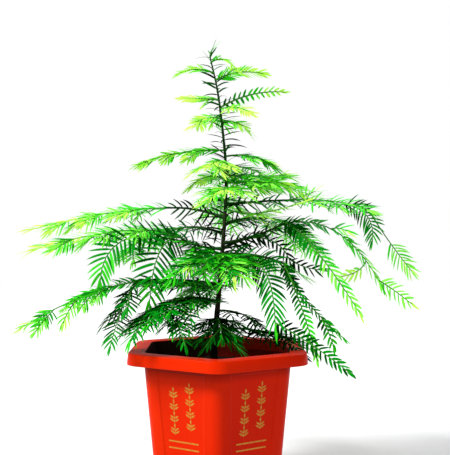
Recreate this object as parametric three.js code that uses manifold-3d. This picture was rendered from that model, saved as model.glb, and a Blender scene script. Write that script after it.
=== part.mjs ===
// Young Chinese yew grown as a bonsai in a hexagonal plastic pot.
// Millimetres, +Z up. The origin is the middle of the pot's flat underside, and a corner of the pot faces -Y.
// A heading is the way a limb grows, seen from above: 0 is +X, 90 is +Y, 180 is -X and -90 is -Y.

import * as THREE from "three";
import { mergeVertices } from "three/addons/utils/BufferGeometryUtils.js";
import Module from "manifold-3d";

const wasm = await Module();
wasm.setup();

// Pot, measured from its middle to a corner of the hexagon
const POT_HEIGHT = 165;
const FOOT_RADIUS = 73;
const MOUTH_RADIUS = 91;
const POT_CORNER = 13;
const WALL = 2.2;
const FLOOR = 3;
const LIP_RADIUS = 110;
const LIP_CORNER = 21;
const LIP_HEIGHT = 12;
const LIP_FLARE = 1.5;
const PANEL_MARGIN = 15.6;
const PANEL_TOP = 136;
const PANEL_FOOT = 14;
const PANEL_DEPTH = 0.7;
const CORNER_STEPS = 3;
const OVERCUT = 1;

// Soil and clearances
const SOIL_TOP = 143;
const GAP = 0.3;
const NEEDLE_CLEARANCE = 0.5;
const POT_CLEARANCE = 2;

// Trunk: its bends as [height, x, y], and its radius
const TRUNK_BENDS = [
  [SOIL_TOP - 5, -5.4, 0],
  [186, -2, 1],
  [226, 1.5, 2],
  [268, 5, 1],
  [310, 8, -1],
  [356, 9.5, 0],
  [407, 5.5, 2],
  [455, -1, 1],
  [488, -8.5, 0],
];
const TRUNK_RADIUS = 3.7;
const LEADER_RADIUS = 0.8;
const TRUNK_TAPER = 0.85;
const FLARE = 2.6;
const FLARE_HEIGHT = 11;
const TRUNK_SIDES = 10;
const TRUNK_STEPS = 22;

// Boughs, stems and twigs
const BOUGH_SIDES = 6;
const BOUGH_STEPS = 5;
const BOUGH_RADIUS = 1.7;
const BOUGH_TIP = 1.05;
const TWIG_SIDES = 3;
const STEM_STEP = 24;
const STEM_RADIUS = 1.15;
const STEM_ON_BOUGH = 0.98;
const STEM_TIP = 0.5;
const TWIG_RADIUS = 0.8;
const TWIG_TIP = 0.45;
const TWIG_FIRST = 0.2;
const TWIG_LAST = 0.86;
const TWIG_ANGLE = 52;
const TWIG_SAG = 0.22;
const TWIG_ARCH = 0.08;
const TWIG_SHORTENING = 0.6;
const TWIG_CLOSING = 0.4;
const TWIG_UNEVENNESS = 0.3;
const TWIG_RISE_SPREAD = 4;

// Needles
const NEEDLE_LENGTH = 24;
const NEEDLE_WIDTH = 3.6;
const NEEDLE_THICKNESS = 0.7;
const NEEDLE_SPACING = 7.2;
const NEEDLE_SHORTENING = 0.25;
const NEEDLE_UNEVENNESS = 0.2;
const ANGLE_AT_ROOT = 68;
const ANGLE_AT_TIP = 26;
const ANGLE_SPREAD = 9;
const LIFT_SPREAD = 20;
const SEED = 1907;
const SEED_STEP = 101;

// Bare limbs. They rise from the trunk at a height; reach and rise run from root to tip, and knee is
// the [out, up] of the point that the limb bends towards.
const BOUGHS = [
  { name: "bough_right_upper", at: 323, heading: 14, reach: 70, rise: 6, knee: [35, 4] },
  { name: "bough_right_arch", at: 280, heading: -14, reach: 70, rise: 22, knee: [36, 5] },
  { name: "bough_right_inner", at: 274, heading: 4, reach: 33, rise: 12, knee: [17, 9] },
  { name: "bough_right_low", at: 268, heading: -34, reach: 78, rise: -10, knee: [48, 2] },
  { name: "bough_right_front", at: 262, heading: -58, reach: 62, rise: -2, knee: [36, 12] },
  { name: "bough_left_upper", at: 308, heading: 166, reach: 64, rise: 12, knee: [33, 13] },
  { name: "bough_left_middle", at: 274, heading: 196, reach: 50, rise: 13, knee: [28, -1] },
  { name: "bough_left_low", at: 234, heading: 205, reach: 92, rise: 6, knee: [47, 8] },
  { name: "bough_left_bottom", at: 214, heading: 228, reach: 50, rise: 7, knee: [29, 8] },
  { name: "bough_back_right", at: 300, heading: 52, reach: 74, rise: 10, knee: [38, 12] },
  { name: "bough_back_left", at: 290, heading: 132, reach: 78, rise: 8, knee: [40, 12] },
];

// Foliage. A spray rises from the trunk at a height, or goes on from the tip of the bough it is on.
// Its forks leave the stem at a share of its length, and its twigs are side shoots up to twigReach long.
// Roll tips its plane about the stem, for a fork too where it has its own, and size scales its needles.
const SPRAYS = [
  { name: "spray_leader", at: 488, heading: 20, reach: 4, rise: 11, knee: [0, 7], size: 0.7 },
  {
    name: "spray_top_right_1", at: 483, heading: -30, reach: 21, rise: -2, knee: [12, 5],
    size: 0.6,
  },
  {
    name: "spray_top_left_1", at: 471, heading: 200, reach: 41, rise: -4, knee: [23, 6],
    size: 0.6, roll: 15,
  },
  {
    name: "spray_top_right_2", at: 463, heading: -20, reach: 56, rise: 3, knee: [25, 11],
    size: 0.6, roll: -35,
  },
  {
    name: "spray_top_left_2", at: 441, heading: 165, reach: 42, rise: 4, knee: [22, 2],
    size: 0.6, roll: -50,
  },
  {
    name: "spray_top_right_3", at: 432, heading: 15, reach: 78, rise: 22, knee: [36, 23],
    size: 0.5, roll: -45,
  },
  {
    name: "spray_top_right_4", at: 430, heading: -50, reach: 54, rise: -13, knee: [28, 3],
    size: 0.65, roll: 25,
  },
  {
    name: "spray_top_left_3", at: 420, heading: 215, reach: 32, rise: -6, knee: [17, 0],
    size: 0.7, roll: -30,
  },
  {
    name: "spray_top_right_5", at: 417, heading: 8, reach: 32, rise: -12, knee: [18, 2],
    size: 0.65, roll: 30,
  },
  { name: "spray_top_back", at: 424, heading: 104, reach: 44, rise: -3, knee: [22, 4], size: 0.85 },
  {
    name: "spray_high_left_1", at: 384, heading: 190, reach: 98, rise: -19, knee: [60, 0],
    size: 0.6, twigs: 3, twigReach: 22, roll: 18,
  },
  {
    name: "spray_high_right_1", at: 377, heading: -15, reach: 52, rise: -8, knee: [25, 4],
    twigs: 3, twigReach: 20,
  },
  {
    name: "spray_high_front", at: 371, heading: 250, reach: 50, rise: -10, knee: [26, 0],
    size: 0.8,
  },
  {
    name: "spray_high_right_2", at: 366, heading: 45, reach: 54, rise: -3, knee: [27, 3],
    twigs: 2, twigReach: 20,
  },
  {
    name: "spray_high_back", at: 362, heading: 86, reach: 74, rise: -8, knee: [36, 8],
    twigs: 4, twigReach: 26,
  },
  {
    name: "spray_high_left_2", at: 351, heading: 175, reach: 42, rise: -9, knee: [22, 11],
    size: 0.65, roll: 25,
  },
  {
    name: "spray_high_right_3", at: 356, heading: 20, reach: 75, rise: 3, knee: [42, -2],
    size: 0.85, twigs: 4, twigReach: 26, roll: 25,
  },
  {
    name: "spray_high_right_4", at: 347, heading: -35, reach: 73, rise: -3, knee: [41, 0],
    twigs: 5, twigReach: 30, roll: -20,
  },
  {
    name: "spray_high_front_low", at: 338, heading: 268, reach: 80, rise: -8, knee: [40, 6],
    twigs: 4, twigReach: 24,
  },
  {
    name: "spray_right_upper", on: "bough_right_upper", heading: 0, reach: 97, rise: -11, knee: [62, 3],
    twigs: 4, twigReach: 24, roll: 20,
    forks: [
      { at: 0.03, heading: 24, reach: 36, rise: 11, knee: [18, 4] },
      { at: 0.62, heading: -14, reach: 32, rise: -44, knee: [38, -10], roll: 70 },
      { at: 0.97, heading: 2, reach: 50, rise: -71, knee: [20, -34], roll: 75 },
    ],
  },
  {
    name: "spray_right_lime", at: 318, heading: -38, reach: 58, rise: -4, knee: [34, -10],
    twigs: 2, twigReach: 26,
    forks: [{ at: 0.6, heading: -16, reach: 56, rise: 12, knee: [28, 2] }],
  },
  {
    name: "spray_right_arch", on: "bough_right_arch", heading: -6, reach: 104, rise: -70, knee: [64, 12],
    roll: 30, size: 0.85,
    forks: [
      { at: 0.42, heading: -20, reach: 18, rise: -3, knee: [9, 2] },
      { at: 0.8, heading: 196, reach: 30, rise: -17, knee: [6, -14], roll: 60 },
      { at: 0.95, heading: -4, reach: 36, rise: -26, knee: [14, -8], roll: 60 },
    ],
  },
  {
    name: "spray_right_arch_front", on: "bough_right_arch", heading: -38, reach: 90, rise: -94,
    knee: [26, -6], roll: 42, size: 0.65,
  },
  {
    name: "spray_right_inner", on: "bough_right_inner", heading: 2, reach: 44, rise: -30, knee: [34, 2],
    roll: -40, size: 0.8,
    forks: [{ at: 0.9, heading: -8, reach: 36, rise: -12, knee: [16, -11] }],
  },
  {
    name: "spray_right_low", on: "bough_right_low", heading: -4, reach: 65, rise: -80, knee: [15, -38],
    roll: 35, size: 0.42,
    forks: [{ at: 0.72, heading: -40, reach: 15, rise: -30, knee: [8, -12] }],
  },
  {
    name: "spray_right_low_front", on: "bough_right_low", heading: -62, reach: 60, rise: -94,
    knee: [31, -32], roll: 40, size: 0.4,
  },
  {
    name: "spray_right_front", on: "bough_right_front", heading: -60, reach: 40, rise: -64,
    knee: [38, -4], roll: 60,
    forks: [{ at: 0.96, heading: -16, reach: 74, rise: -47, knee: [36, -18] }],
  },
  {
    name: "spray_right_bottom", at: 205, heading: -8, reach: 50, rise: -17, knee: [28, 2],
    size: 0.8,
  },
  {
    name: "spray_right_rim", at: 184, heading: -8, reach: 94, rise: -13, knee: [48, 6],
    twigs: 4, twigReach: 26,
  },
  {
    name: "spray_front_bottom", at: 196, heading: -84, reach: 62, rise: -16, knee: [30, 6],
    twigs: 3, twigReach: 24,
  },
  {
    name: "spray_left_upper", on: "bough_left_upper", heading: 176, reach: 160, rise: -24, knee: [62, 0],
    roll: -20, twigs: 5, twigReach: 30, size: 0.95,
  },
  {
    name: "spray_left_middle", on: "bough_left_middle", heading: 186, reach: 158, rise: -15, knee: [44, 20],
    roll: -25, twigs: 5, twigReach: 28, size: 0.95,
  },
  {
    name: "spray_left_hanging", on: "bough_left_middle", heading: 205, reach: 88, rise: -48,
    knee: [86, 14], roll: -55, size: 0.85,
  },
  {
    name: "spray_left_front", on: "bough_left_middle", heading: 232, reach: 46, rise: -72, knee: [42, -2],
    roll: -50,
  },
  {
    name: "spray_left_low", on: "bough_left_low", heading: 200, reach: 124, rise: -46, knee: [62, -8],
    roll: -30, size: 0.6, twigs: 3, twigReach: 24,
    forks: [{ at: 0.5, heading: 222, reach: 22, rise: -26, knee: [14, -6] }],
  },
  {
    name: "spray_left_rim", on: "bough_left_low", heading: 214, reach: 26, rise: -40, knee: [20, -12],
    twigs: 2, twigReach: 20, size: 0.75,
  },
  {
    name: "spray_left_back", at: 226, heading: 158, reach: 56, rise: 8, knee: [30, 12],
    twigs: 2, twigReach: 24,
  },
  {
    name: "spray_left_bottom_outer", on: "bough_left_bottom", heading: 205, reach: 56, rise: -24,
    knee: [30, -2], twigs: 4, twigReach: 26,
  },
  {
    name: "spray_left_bottom_inner", on: "bough_left_bottom", heading: 250, reach: 36, rise: -32,
    knee: [20, -4], twigs: 3, twigReach: 22,
  },
  {
    name: "spray_centre_right", at: 256, heading: -82, reach: 84, rise: -10, knee: [50, 18],
    twigs: 3, twigReach: 26, roll: 20,
  },
  {
    name: "spray_centre_left", at: 266, heading: -115, reach: 80, rise: -12, knee: [40, 12],
    twigs: 4, twigReach: 26, roll: -20,
  },
  {
    name: "spray_back_right", on: "bough_back_right", heading: 46, reach: 108, rise: -42, knee: [56, 4],
    twigs: 4, twigReach: 34,
  },
  {
    name: "spray_back_left", on: "bough_back_left", heading: 138, reach: 106, rise: -38, knee: [54, 4],
    twigs: 4, twigReach: 34,
  },
  {
    name: "spray_back_middle", at: 326, heading: 93, reach: 146, rise: -22, knee: [72, 20],
    twigs: 4, twigReach: 34,
  },
  {
    name: "spray_back_low", at: 228, heading: 112, reach: 118, rise: -30, knee: [62, 15],
    twigs: 4, twigReach: 30,
  },
  {
    name: "spray_back_inner", at: 260, heading: 94, reach: 108, rise: -22, knee: [54, 12],
    twigs: 4, twigReach: 36,
  },
];

// Geometry helpers
const UP = new THREE.Vector3(0, 0, 1);
const SIXTH = Math.PI / 3;
const TWO_POW_32 = 2 ** 32;

function seededRandom(seed) {
  let state = seed >>> 0;
  return () => {
    state = (state + 0x6d2b79f5) >>> 0;
    let mixed = Math.imul(state ^ (state >>> 15), state | 1);
    mixed = (mixed + Math.imul(mixed ^ (mixed >>> 7), mixed | 61)) ^ mixed;
    return ((mixed ^ (mixed >>> 14)) >>> 0) / TWO_POW_32;
  };
}

function solidFrom(geometry) {
  const bare = geometry.clone();
  bare.deleteAttribute("normal");
  bare.deleteAttribute("uv");
  const merged = mergeVertices(bare);
  return new wasm.Manifold(
    new wasm.Mesh({
      numProp: 3,
      vertProperties: new Float32Array(merged.attributes.position.array),
      triVerts: new Uint32Array(merged.index.array),
    }),
  );
}

function geometryFrom(solid) {
  const mesh = solid.getMesh();
  const geometry = new THREE.BufferGeometry();
  geometry.setAttribute("position", new THREE.BufferAttribute(mesh.vertProperties, 3));
  geometry.setIndex(new THREE.BufferAttribute(mesh.triVerts, 1));
  geometry.computeVertexNormals();
  return geometry;
}

// The largest closed body of a solid, so that a cut leaves no loose scrap.
function largestBody(solid) {
  const bodies = solid.decompose();
  return bodies.reduce((best, body) => (body.volume() > best.volume() ? body : best));
}

// A hexagon with round corners, one of them towards -Y.
function hexagonShape(radius, corner) {
  const centre = radius - corner / Math.cos(SIXTH / 2);
  const shape = new THREE.Shape();
  for (let side = 0; side < 6; side += 1) {
    const towards = -Math.PI / 2 + side * SIXTH;
    for (let step = 0; step <= CORNER_STEPS; step += 1) {
      const angle = towards + (step / CORNER_STEPS - 0.5) * SIXTH;
      const x = centre * Math.cos(towards) + corner * Math.cos(angle);
      const y = centre * Math.sin(towards) + corner * Math.sin(angle);
      if (side === 0 && step === 0) shape.moveTo(x, y);
      else shape.lineTo(x, y);
    }
  }
  shape.closePath();
  return shape;
}

// A hexagonal block from one height to another, whose radius changes evenly on the way up.
function hexagonBlock(lowRadius, highRadius, corner, low, high) {
  const geometry = new THREE.ExtrudeGeometry(hexagonShape(highRadius, corner), {
    depth: high - low,
    steps: 1,
    bevelEnabled: false,
  });
  const place = geometry.attributes.position;
  for (let i = 0; i < place.count; i += 1) {
    const scale = place.getZ(i) > 0 ? 1 : lowRadius / highRadius;
    place.setXYZ(i, place.getX(i) * scale, place.getY(i) * scale, place.getZ(i) + low);
  }
  return solidFrom(geometry);
}

const potRadiusAt = (height) => THREE.MathUtils.lerp(FOOT_RADIUS, MOUTH_RADIUS, height / POT_HEIGHT);

// The shallow sunk panel of one face of the pot, as the block that is cut away.
function panelCutter(turn) {
  const inradius = (height) => potRadiusAt(height) * Math.cos(SIXTH / 2);
  const halfWidth = (height) => potRadiusAt(height) / 2 - PANEL_MARGIN;
  const tilt = Math.atan2(inradius(PANEL_TOP) - inradius(PANEL_FOOT), PANEL_TOP - PANEL_FOOT);
  const slant = (PANEL_TOP - PANEL_FOOT) / Math.cos(tilt);
  const outline = new THREE.Shape([
    new THREE.Vector2(-halfWidth(PANEL_FOOT), 0),
    new THREE.Vector2(halfWidth(PANEL_FOOT), 0),
    new THREE.Vector2(halfWidth(PANEL_TOP), slant),
    new THREE.Vector2(-halfWidth(PANEL_TOP), slant),
  ]);
  const depth = PANEL_DEPTH + OVERCUT;
  const geometry = new THREE.ExtrudeGeometry(outline, { depth, bevelEnabled: false });
  geometry.translate(0, 0, -PANEL_DEPTH);
  geometry.rotateX(Math.PI / 2 + tilt);
  geometry.translate(0, -inradius(PANEL_FOOT), PANEL_FOOT);
  geometry.rotateZ(turn);
  return solidFrom(geometry);
}

function potSolid() {
  const lipFoot = POT_HEIGHT - LIP_HEIGHT;
  const lipTop = LIP_RADIUS - LIP_FLARE;
  const outer = hexagonBlock(FOOT_RADIUS, MOUTH_RADIUS, POT_CORNER, 0, POT_HEIGHT);
  const lip = hexagonBlock(LIP_RADIUS, lipTop, LIP_CORNER, lipFoot, POT_HEIGHT);
  const underLip = hexagonBlock(
    LIP_RADIUS - WALL,
    lipTop - WALL,
    LIP_CORNER - WALL,
    lipFoot - OVERCUT,
    POT_HEIGHT - WALL,
  );
  const inner = hexagonBlock(
    potRadiusAt(FLOOR) - WALL,
    potRadiusAt(POT_HEIGHT + OVERCUT) - WALL,
    POT_CORNER - WALL,
    FLOOR,
    POT_HEIGHT + OVERCUT,
  );
  let solid = lip.subtract(underLip).add(outer).subtract(inner);
  for (let face = 0; face < 6; face += 1) {
    solid = solid.subtract(panelCutter((face + 0.5) * SIXTH));
  }
  return largestBody(solid);
}

const soilSolid = () =>
  hexagonBlock(
    potRadiusAt(FLOOR + GAP) - WALL - 2 * GAP,
    potRadiusAt(SOIL_TOP) - WALL - 2 * GAP,
    POT_CORNER - WALL,
    FLOOR + GAP,
    SOIL_TOP,
  );

// A limb is a curve, the radius along it and a level side vector that turns with its heading.
function frameOf(limb, point, tangent) {
  const level = limb.side.clone().addScaledVector(tangent, -limb.side.dot(tangent)).normalize();
  const normal = tangent.clone().cross(level);
  const side = level.multiplyScalar(Math.cos(limb.roll)).addScaledVector(normal, Math.sin(limb.roll));
  return { point, tangent, side, normal: tangent.clone().cross(side) };
}

// The frame at a share of a limb's length, on the straight piece between its two nearest rings.
function rootFrame(limb, t) {
  const ring = Math.min(limb.steps - 1, Math.floor(t * limb.steps));
  const from = limb.curve.getPoint(ring / limb.steps);
  const to = limb.curve.getPoint((ring + 1) / limb.steps);
  const tangent = to.clone().sub(from).normalize();
  return frameOf(limb, from.lerp(to, t * limb.steps - ring), tangent);
}

// A tapering closed tube along a limb. Grow widens it, and lengthens its tip by as much.
function limbSolid(limb, grow = 0) {
  const geometry = new THREE.CylinderGeometry(1, 1, 1, limb.sides, limb.steps);
  const place = geometry.attributes.position;
  for (let i = 0; i < place.count; i += 1) {
    const along = place.getY(i) + 0.5;
    const frame = frameOf(limb, limb.curve.getPoint(along), limb.curve.getTangent(along));
    const radius = limb.radiusAt(along) + grow;
    frame.point.addScaledVector(frame.side, place.getX(i) * radius);
    frame.point.addScaledVector(frame.normal, -place.getZ(i) * radius);
    if (along === 1) frame.point.addScaledVector(frame.tangent, grow);
    place.setXYZ(i, frame.point.x, frame.point.y, frame.point.z);
  }
  return solidFrom(geometry);
}

function limbFrom(root, row, size) {
  const angle = THREE.MathUtils.degToRad(row.heading);
  const out = new THREE.Vector3(Math.cos(angle), Math.sin(angle), 0);
  const knee = root.clone().addScaledVector(out, row.knee[0]).addScaledVector(UP, row.knee[1]);
  const tip = root.clone().addScaledVector(out, row.reach).addScaledVector(UP, row.rise);
  const curve = new THREE.QuadraticBezierCurve3(root, knee, tip);
  return {
    curve,
    tip,
    length: curve.getLength(),
    side: new THREE.Vector3(-Math.sin(angle), Math.cos(angle), 0),
    heading: row.heading,
    roll: THREE.MathUtils.degToRad(row.roll ?? 0),
    sides: size.sides,
    steps: size.steps ?? Math.max(2, Math.round(curve.getLength() / STEM_STEP)),
    radiusAt: (t) => THREE.MathUtils.lerp(size.radius, size.tip, t),
  };
}

// Trunk
const trunkCurve = new THREE.CatmullRomCurve3(TRUNK_BENDS.map(([z, x, y]) => new THREE.Vector3(x, y, z)));
const trunk = {
  curve: trunkCurve,
  side: new THREE.Vector3(1, 0, 0),
  roll: 0,
  sides: TRUNK_SIDES,
  steps: TRUNK_STEPS,
  radiusAt: (t) => {
    const height = trunkCurve.getPoint(t).z - SOIL_TOP;
    const shaft = THREE.MathUtils.lerp(TRUNK_RADIUS, LEADER_RADIUS, t ** TRUNK_TAPER);
    return shaft + FLARE * Math.exp(-height / FLARE_HEIGHT);
  },
};

// The trunk with its foot cut flat just above the soil.
function trunkSolid() {
  const depth = 20;
  const [, footX, footY] = TRUNK_BENDS[0];
  const below = new THREE.BoxGeometry(depth * 2, depth * 2, depth);
  below.translate(footX, footY, SOIL_TOP + GAP - depth / 2);
  return largestBody(limbSolid(trunk).subtract(solidFrom(below)));
}

// The middle of the trunk at a height, found by halving.
function trunkPoint(height) {
  const halvings = 30;
  let low = 0;
  let high = 1;
  for (let i = 0; i < halvings; i += 1) {
    const middle = (low + high) / 2;
    if (trunkCurve.getPoint(middle).z < height) low = middle;
    else high = middle;
  }
  return trunkCurve.getPoint(low);
}

// Straight pieces of a limb with their radius, for the tests that keep the masses apart.
function capsulesOf(limb, owner) {
  const pieces = [];
  for (let i = 0; i < limb.steps; i += 1) {
    pieces.push({
      from: limb.curve.getPoint(i / limb.steps),
      to: limb.curve.getPoint((i + 1) / limb.steps),
      radius: limb.radiusAt(i / limb.steps),
      owner,
    });
  }
  return pieces;
}

// The least distance between two straight pieces.
function distanceBetween(a, b) {
  const u = a.to.clone().sub(a.from);
  const v = b.to.clone().sub(b.from);
  const w = a.from.clone().sub(b.from);
  const uu = u.dot(u);
  const uv = u.dot(v);
  const vv = v.dot(v);
  const uw = u.dot(w);
  const vw = v.dot(w);
  const clamp = (value) => Math.min(1, Math.max(0, value));
  const spread = uu * vv - uv * uv;
  let s = spread > Number.EPSILON ? clamp((uv * vw - vv * uw) / spread) : 0;
  const t = clamp((uv * s + vw) / vv);
  s = clamp((uv * t - uw) / uu);
  return w.addScaledVector(u, s).addScaledVector(v, -t).length();
}

// True where a piece stays clear of every other owner's pieces and of the pot's rim and soil.
function isClear(piece, others) {
  const innerEdge = MOUTH_RADIUS * Math.cos(SIXTH / 2) - WALL - POT_CLEARANCE;
  for (const end of [piece.from, piece.to]) {
    const out = Math.hypot(end.x, end.y);
    const floor = out > innerEdge ? POT_HEIGHT : SOIL_TOP;
    if (out < LIP_RADIUS + POT_CLEARANCE && end.z < floor + POT_CLEARANCE) return false;
  }
  return others.every(
    (other) =>
      other.owner === piece.owner ||
      distanceBetween(piece, other) > piece.radius + other.radius + NEEDLE_CLEARANCE,
  );
}

// Side shoots of a stem by a seeded rule: left and right in turn, shorter towards the tip.
function twigsOf(stem, row, random) {
  const twigs = [];
  const count = row.twigs ?? 0;
  const size = { sides: TWIG_SIDES, radius: TWIG_RADIUS, tip: TWIG_TIP, steps: 1 };
  const uneven = (spread) => spread * (random() - 0.5);
  for (let i = 0; i < count; i += 1) {
    const place = (i + 0.5 + uneven(TWIG_UNEVENNESS)) / count;
    const share = THREE.MathUtils.lerp(TWIG_FIRST, TWIG_LAST, place);
    const hand = i % 2 === 0 ? 1 : -1;
    const length = 1 + TWIG_SHORTENING * (0.25 - share);
    const reach = row.twigReach * length * (1 + uneven(TWIG_UNEVENNESS));
    const root = rootFrame(stem, share);
    const rise = reach * (root.tangent.z - TWIG_SAG) + uneven(TWIG_RISE_SPREAD);
    const heading = stem.heading + hand * TWIG_ANGLE * (1 + TWIG_CLOSING * (0.25 - share));
    const knee = [reach / 2, rise / 2 + reach * TWIG_ARCH];
    twigs.push(limbFrom(root.point, { heading, reach, rise, knee, roll: row.roll }, size));
  }
  return twigs;
}

// A needle is a slim three-sided cone. Its foot lies along the middle of the shoot, deep inside it.
function needleSolid(needle) {
  const geometry = new THREE.ConeGeometry(1, 1, 3);
  geometry.translate(0, 0.5, 0);
  const foot = needle.tangent.clone().multiplyScalar(-needle.hand * (NEEDLE_WIDTH / Math.sqrt(3)));
  const keel = needle.normal.clone().multiplyScalar(-NEEDLE_THICKNESS / 2);
  const along = needle.along.clone().multiplyScalar(needle.length);
  geometry.applyMatrix4(new THREE.Matrix4().makeBasis(foot, along, keel).setPosition(needle.root));
  return solidFrom(geometry);
}

// Needles in two ranks along a shoot, more and more forward towards its tip.
function needlesOf(shoot, size, random) {
  const needles = [];
  const count = Math.max(2, Math.round(shoot.length / NEEDLE_SPACING));
  const uneven = (spread) => spread * (random() - 0.5);
  for (let i = 0; i < count; i += 1) {
    const share = (i + 0.6) / count;
    const frame = rootFrame(shoot, share);
    const hand = i % 2 === 0 ? -1 : 1;
    const spread = THREE.MathUtils.lerp(ANGLE_AT_ROOT, ANGLE_AT_TIP, share ** 3);
    const angle = THREE.MathUtils.degToRad(hand * (spread + uneven(ANGLE_SPREAD)));
    const lift = THREE.MathUtils.degToRad(uneven(LIFT_SPREAD));
    const along = frame.tangent.clone().multiplyScalar(Math.cos(angle));
    along.addScaledVector(frame.side, Math.sin(angle)).addScaledVector(frame.normal, Math.sin(lift));
    const taper = 1 - NEEDLE_SHORTENING * share ** 4;
    needles.push({
      root: frame.point,
      tangent: frame.tangent,
      normal: frame.normal,
      along: along.normalize(),
      hand,
      length: NEEDLE_LENGTH * size * taper * (1 + uneven(NEEDLE_UNEVENNESS)),
    });
  }
  return needles;
}

// Materials
const material = (name, color, roughness) =>
  new THREE.MeshStandardMaterial({ name, color, roughness, metalness: 0 });
const potPlastic = material("pot_plastic", 0xe02800, 0.35);
const soilEarth = material("soil_earth", 0x17110d, 0.95);
const bark = material("bark", 0x2c3a1e, 0.85);
const needleLime = material("needle_lime", 0x8fd814, 0.5);
const needleGreen = material("needle_green", 0x22a52a, 0.5);
const needleDark = material("needle_dark", 0x0f5a1c, 0.5);
const SHADED = /back|rim|bottom|inner/;
const SUNLIT = /leader|top|high|lime/;

// The crown is lime where it is sunlit and new, and dark where it is old and shaded.
function needleLook(name) {
  if (SHADED.test(name)) return needleDark;
  return SUNLIT.test(name) ? needleLime : needleGreen;
}

// Assembly
const bonsai = new THREE.Group();
bonsai.name = "chinese_yew_bonsai";

function addNode(name, solid, look) {
  const mesh = new THREE.Mesh(geometryFrom(solid), look);
  mesh.name = name;
  bonsai.add(mesh);
}

addNode("pot", potSolid(), potPlastic);
addNode("soil", soilSolid(), soilEarth);
addNode("trunk", trunkSolid(), bark);

const occupied = capsulesOf(trunk, "trunk");
const grownTrunk = limbSolid(trunk, GAP);
const limbs = new Map();
for (const row of BOUGHS) {
  const size = { sides: BOUGH_SIDES, steps: BOUGH_STEPS, radius: BOUGH_RADIUS, tip: BOUGH_TIP };
  const bough = limbFrom(trunkPoint(row.at), row, size);
  limbs.set(row.name, bough);
  occupied.push(...capsulesOf(bough, row.name));
  addNode(row.name, largestBody(limbSolid(bough).subtract(grownTrunk)), bark);
}

// Every stem and twig is settled before the first needle, so that needles keep clear of them all.
const masses = SPRAYS.map((row, index) => {
  const random = seededRandom(SEED + index * SEED_STEP);
  const parent = row.on ? limbs.get(row.on) : null;
  const size = { sides: TWIG_SIDES, radius: parent ? STEM_ON_BOUGH : STEM_RADIUS, tip: STEM_TIP };
  const stem = limbFrom(parent ? parent.tip.clone() : trunkPoint(row.at), row, size);
  const forkSize = { sides: TWIG_SIDES, radius: TWIG_RADIUS, tip: TWIG_TIP };
  const forks = (row.forks ?? []).map((fork) =>
    limbFrom(rootFrame(stem, fork.at).point, { ...fork, roll: fork.roll ?? row.roll }, forkSize),
  );
  const shoots = [stem, ...forks];
  shoots.forEach((shoot) => occupied.push(...capsulesOf(shoot, row.name)));
  return { row, random, parent, stem, shoots };
});

for (const mass of masses) {
  for (const twig of twigsOf(mass.stem, mass.row, mass.random)) {
    const pieces = capsulesOf(twig, mass.row.name);
    if (!pieces.every((piece) => isClear(piece, occupied))) continue;
    mass.shoots.push(twig);
    occupied.push(...pieces);
  }
}

// A needle is tested as a thin spine, the wide half next to the shoot, and the blade outside the shoot.
const elders = new Map();
for (const mass of masses) {
  const { row, random, parent, stem, shoots } = mass;
  let solid = shoots.map((shoot) => limbSolid(shoot)).reduce((whole, piece) => whole.add(piece));
  const own = shoots.flatMap((shoot) => capsulesOf(shoot, row.name));
  for (const shoot of shoots) {
    for (const needle of needlesOf(shoot, row.size ?? 1, random)) {
      const at = (share) => needle.root.clone().addScaledVector(needle.along, needle.length * share);
      const whole = { from: at(0), to: at(1), radius: NEEDLE_THICKNESS / 2, owner: row.name };
      const wide = { from: at(0), to: at(0.5), radius: NEEDLE_WIDTH / 2, owner: row.name };
      const blade = { from: at(0.25), to: at(1), radius: NEEDLE_THICKNESS / 2 };
      if (!isClear(whole, occupied) || !isClear(wide, occupied) || !isClear(blade, own)) continue;
      occupied.push(whole, wide);
      own.push({ ...blade, owner: row.name });
      solid = solid.add(needleSolid(needle));
    }
  }
  solid = solid.subtract(parent ? limbSolid(parent, GAP) : grownTrunk);
  const siblings = parent ? (elders.get(parent) ?? []) : [];
  for (const elder of siblings) solid = solid.subtract(limbSolid(elder, GAP));
  if (parent) elders.set(parent, [...siblings, stem]);
  addNode(row.name, largestBody(solid), needleLook(row.name));
}

export default bonsai;
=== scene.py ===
"""Looks of a young Chinese yew grown as a bonsai in a hexagonal pot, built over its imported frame.

Lengths are in millimetres and become metres where a mesh is made. A heading is the way a limb grows,
seen from above: 0 is +X, 90 is +Y, 180 is -X and -90 is -Y, where the camera stands.
"""

import logging
import math
from collections.abc import Callable, Sequence
from dataclasses import dataclass, field, replace
from enum import Enum

import bmesh
import bpy
import numpy as np
from mathutils import Matrix, Vector, noise


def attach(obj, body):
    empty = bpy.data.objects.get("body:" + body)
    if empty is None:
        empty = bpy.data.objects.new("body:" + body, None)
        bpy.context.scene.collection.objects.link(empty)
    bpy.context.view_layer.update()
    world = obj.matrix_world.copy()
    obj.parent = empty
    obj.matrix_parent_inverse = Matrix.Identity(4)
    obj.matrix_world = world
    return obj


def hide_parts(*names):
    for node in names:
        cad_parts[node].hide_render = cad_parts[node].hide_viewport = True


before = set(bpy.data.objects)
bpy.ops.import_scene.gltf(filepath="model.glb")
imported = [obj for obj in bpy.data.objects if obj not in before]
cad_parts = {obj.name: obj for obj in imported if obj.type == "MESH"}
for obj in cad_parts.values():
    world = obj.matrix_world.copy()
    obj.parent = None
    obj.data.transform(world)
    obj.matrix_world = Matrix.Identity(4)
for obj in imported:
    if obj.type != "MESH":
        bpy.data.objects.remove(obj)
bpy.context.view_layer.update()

MM = 0.001
BODY = "root"
LOG = logging.getLogger("yew")
UP = np.array((0.0, 0.0, 1.0))
SIDES = 6
SIXTH = math.tau / SIDES
Colour = tuple[float, float, float]


class Tint(Enum):
    """The greens of the needles, from the oldest to the newest. The darker tints also serve as painted
    shade, for needles that lie in shadow.
    """

    SHADE = 0
    DEEP = 1
    LEAF = 2
    BRIGHT = 3
    FRESH = 4
    LIME = 5


# Growth rule

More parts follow.
